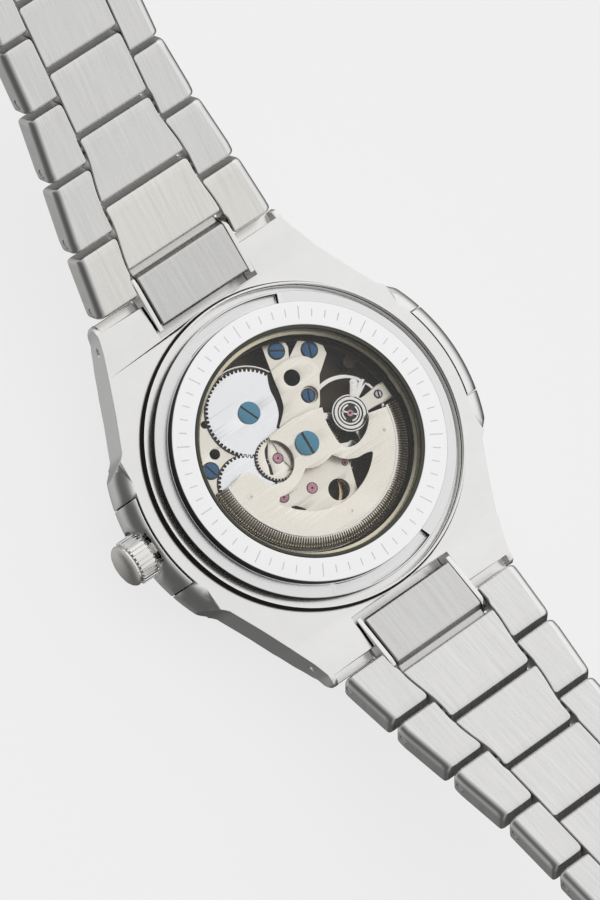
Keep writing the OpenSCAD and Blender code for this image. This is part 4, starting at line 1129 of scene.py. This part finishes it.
# Painted shade: a darker disc, set a little off centre, for the floor of each dimple
dimple_shade_discs = [rod((spot[0] + 0.08, spot[1] - 0.06), r, 10.64, 10.655) for spot, _, r in DIMPLES]
rotor = joined(merged([sheet, hub, *dimples]), merged([ridge]), merged([heavy, under]),
               merged(dimple_shade_discs))
paint_shade_on_walls(rotor, 0, 4)
# Painted shade: the faces along every knurl groove of the heavy rim get a dark material
for face in rotor.faces:
    spot = face.calc_center_median() / MM
    turn = (degrees(atan2(spot.y, spot.x)) - HEAVY_FROM) % 360
    step = int(turn * HEAVY_STEPS / HEAVY_SPAN)
    if face.material_index == 2 and spot.z > 10.12 and step % GROOVE_EVERY == 0:
        face.material_index = 5
finish_mesh("rotor_weight", rotor, ["rotor", "bright", "heavy", "spring", "edge", "groove"], 28)
piece("rotor_screw", ["teal", "gap_shade", "spring"],
      *slotted_screw((0, 0), 1.4, 10.66, 10.95, 86, 0.3), rod((0, 0), 0.7, 8.75, 10.7, 40))

WIND_M = 0.1596
RATCHET_TEETH = 62
CROWN_TEETH = 40
PINION_TEETH = 14


def mesh_phase(towards, phase, teeth_a, teeth_b):
    """Angle of a tooth of a gear that meshes with another gear in a given direction."""
    return towards + 180 + (towards - phase) * teeth_a / teeth_b + 180 / teeth_b


def direction(start, end):
    return degrees(atan2(end[1] - start[1], end[0] - start[0]))


piece("ratchet_wheel", ["barrel_cover", "teal", "gap_shade", "spring"],
      plate_mesh([gear_outline(BARREL, RATCHET_TEETH, WIND_M), circle(BARREL, 0.7)],
                 8.92, 9.3, 0.03),
      *slotted_screw(BARREL, 1.3, 9.31, 9.46, 112, 0.22), rod(BARREL, 0.9, 4.7, 8.9, 40))

crown_phase = mesh_phase(direction(BARREL, CROWN_WHEEL), 0, RATCHET_TEETH, CROWN_TEETH)
piece("crown_wheel", ["barrel_cover", "teal", "gap_shade", "spring"],
      plate_mesh([gear_outline(CROWN_WHEEL, CROWN_TEETH, WIND_M, crown_phase)], 8.92, 9.25, 0.03),
      *slotted_screw(CROWN_WHEEL, 1.2, 9.25, 9.42, 60),
      lathe_mesh([(0, 7.65), (2.3, 7.65), (2.3, 7.9), (0.7, 7.9), (0.7, 8.95), (0, 8.95)], 64,
                 CROWN_WHEEL))

wind_phase = mesh_phase(direction(BARREL, WINDING), 0, RATCHET_TEETH, PINION_TEETH)
side_slot = about(WINDING, 0, [(0.55, 1.55), (0.3, 0.6), (0.24, -0.1), (0.38, -1.0),
                               (0.72, -1.68), (0.52, -1.1), (0.36, -0.1), (0.42, 0.6)])
s_slot = about(WINDING, 0, [(0.05, 2.1), (-0.75, 1.6), (-1.25, 0.7), (-1.5, -0.2),
                            (-1.85, -1.05), (-1.55, -1.3), (-1.2, -0.3), (-0.98, 0.6),
                            (-0.5, 1.35)])
rim_gap = arc(WINDING, 2.12, -75, 62, 24) + arc(WINDING, 1.92, 62, -75, 24)
web = plate_mesh([gear_outline(WINDING, 40, 0.1238), flowing(side_slot, (0, 4)),
                  flowing(s_slot, (0, 4, 5)), rim_gap], 9.5, 9.7, 0.02)
pinion = plate_mesh([gear_outline(WINDING, PINION_TEETH, WIND_M, wind_phase)], 8.92, 9.5, 0.02)
# Painted shade: a near-black disc under the wheel's web, so that its slots look dark
winding_shade_disc = rod(WINDING, 2.6, 9.44, 9.47, 48)
stone, bore = jewel(WINDING, 0.56, 9.72)
piece("winding_wheel", ["rotor", "ruby", "gap_shade"],
      merged([web, pinion]), stone, merged([winding_shade_disc, bore]))


# ---------------------------------------------------------------- going train

def pinion_mesh(centre, teeth, module, phase, z0, z1):
    return plate_mesh([gear_outline(centre, teeth, module, phase)], z0, z1, 0.02)


def train_wheel(node, centre, teeth, module, phase, z0, z1, arms, extras):
    """A spoked wheel on its arbor; the extras are turned parts of the same arbor."""
    outer = module * (teeth / 2 - 1.1) - 0.45
    windows = spoke_holes(centre, arms, 0.9, outer, 6)
    wheel = plate_mesh([gear_outline(centre, teeth, module, phase)] + windows, z0, z1, 0.02)
    return piece(node, ["brass", "spring"], wheel, merged(extras))


third_dir = direction(THIRD, (0, 0))
escape_dir = direction((0, 0), ESCAPE)
THIRD_M = 2 * hypot(*THIRD) / 68
SECONDS_M = 2 * hypot(*ESCAPE) / 84
CENTRE_M = 2 * hypot(*THIRD) / 72
third_phase = mesh_phase(third_dir + 180, third_dir + 180, 64, 8)
train_wheel("third_wheel", THIRD, 60, THIRD_M, third_dir, 7.0, 7.18, 4,
            [pinion_mesh(THIRD, 8, CENTRE_M, third_phase, 5.65, 6.95),
             rod(THIRD, 0.12, 4.8, 8.9), rod(THIRD, 0.5, 6.9, 7.1)])
seconds_phase = mesh_phase(third_dir, third_dir, 60, 8)
train_wheel("seconds_wheel", (0, 0), 75, SECONDS_M, escape_dir, 7.56, 7.72, 5,
            [pinion_mesh((0, 0), 8, THIRD_M, seconds_phase, 6.75, 7.6),
             rod((0, 0), 0.3, 1.95, 8.6)])
escape_phase = mesh_phase(escape_dir, escape_dir, 75, 9)
club = [(ESCAPE[0] + r * cos(radians(a + 24 * k)), ESCAPE[1] + r * sin(radians(a + 24 * k)))
        for k in range(15) for a, r in ((0, 1.5), (14, 1.85), (17, 1.5))]
escape_disc = plate_mesh([club] + spoke_holes(ESCAPE, 4, 0.5, 1.15, 8, 0), 6.5, 6.7, 0.02)
piece("escape_wheel", ["wheel_steel"], escape_disc,
      pinion_mesh(ESCAPE, 9, SECONDS_M, escape_phase, 7.45, 7.9), rod(ESCAPE, 0.12, 4.8, 8.9))

gaps = [arc(BALANCE, 4.2, 36 + 120 * k, 144 + 120 * k, 24)
        + arc(BALANCE, 0.8, 130 + 120 * k, 50 + 120 * k, 8) for k in range(3)]
piece("balance_wheel", ["bright", "spring"],
      plate_mesh([circle(BALANCE, 4.7, 120)] + gaps, 7.95, 8.33, 0.06),
      merged([rod(BALANCE, 0.12, 4.9, 9.2), rod(BALANCE, 0.45, 6.9, 7.1)]))
piece("hairspring", ["blued"],
      coil(BALANCE, 0.47, 2.17, 9, 0.05, 8.5, 8.62))
piece("mainspring", ["spring"],
      coil(BARREL, 1.25, 4.45, 12, 0.1, 6.45, 7.1))
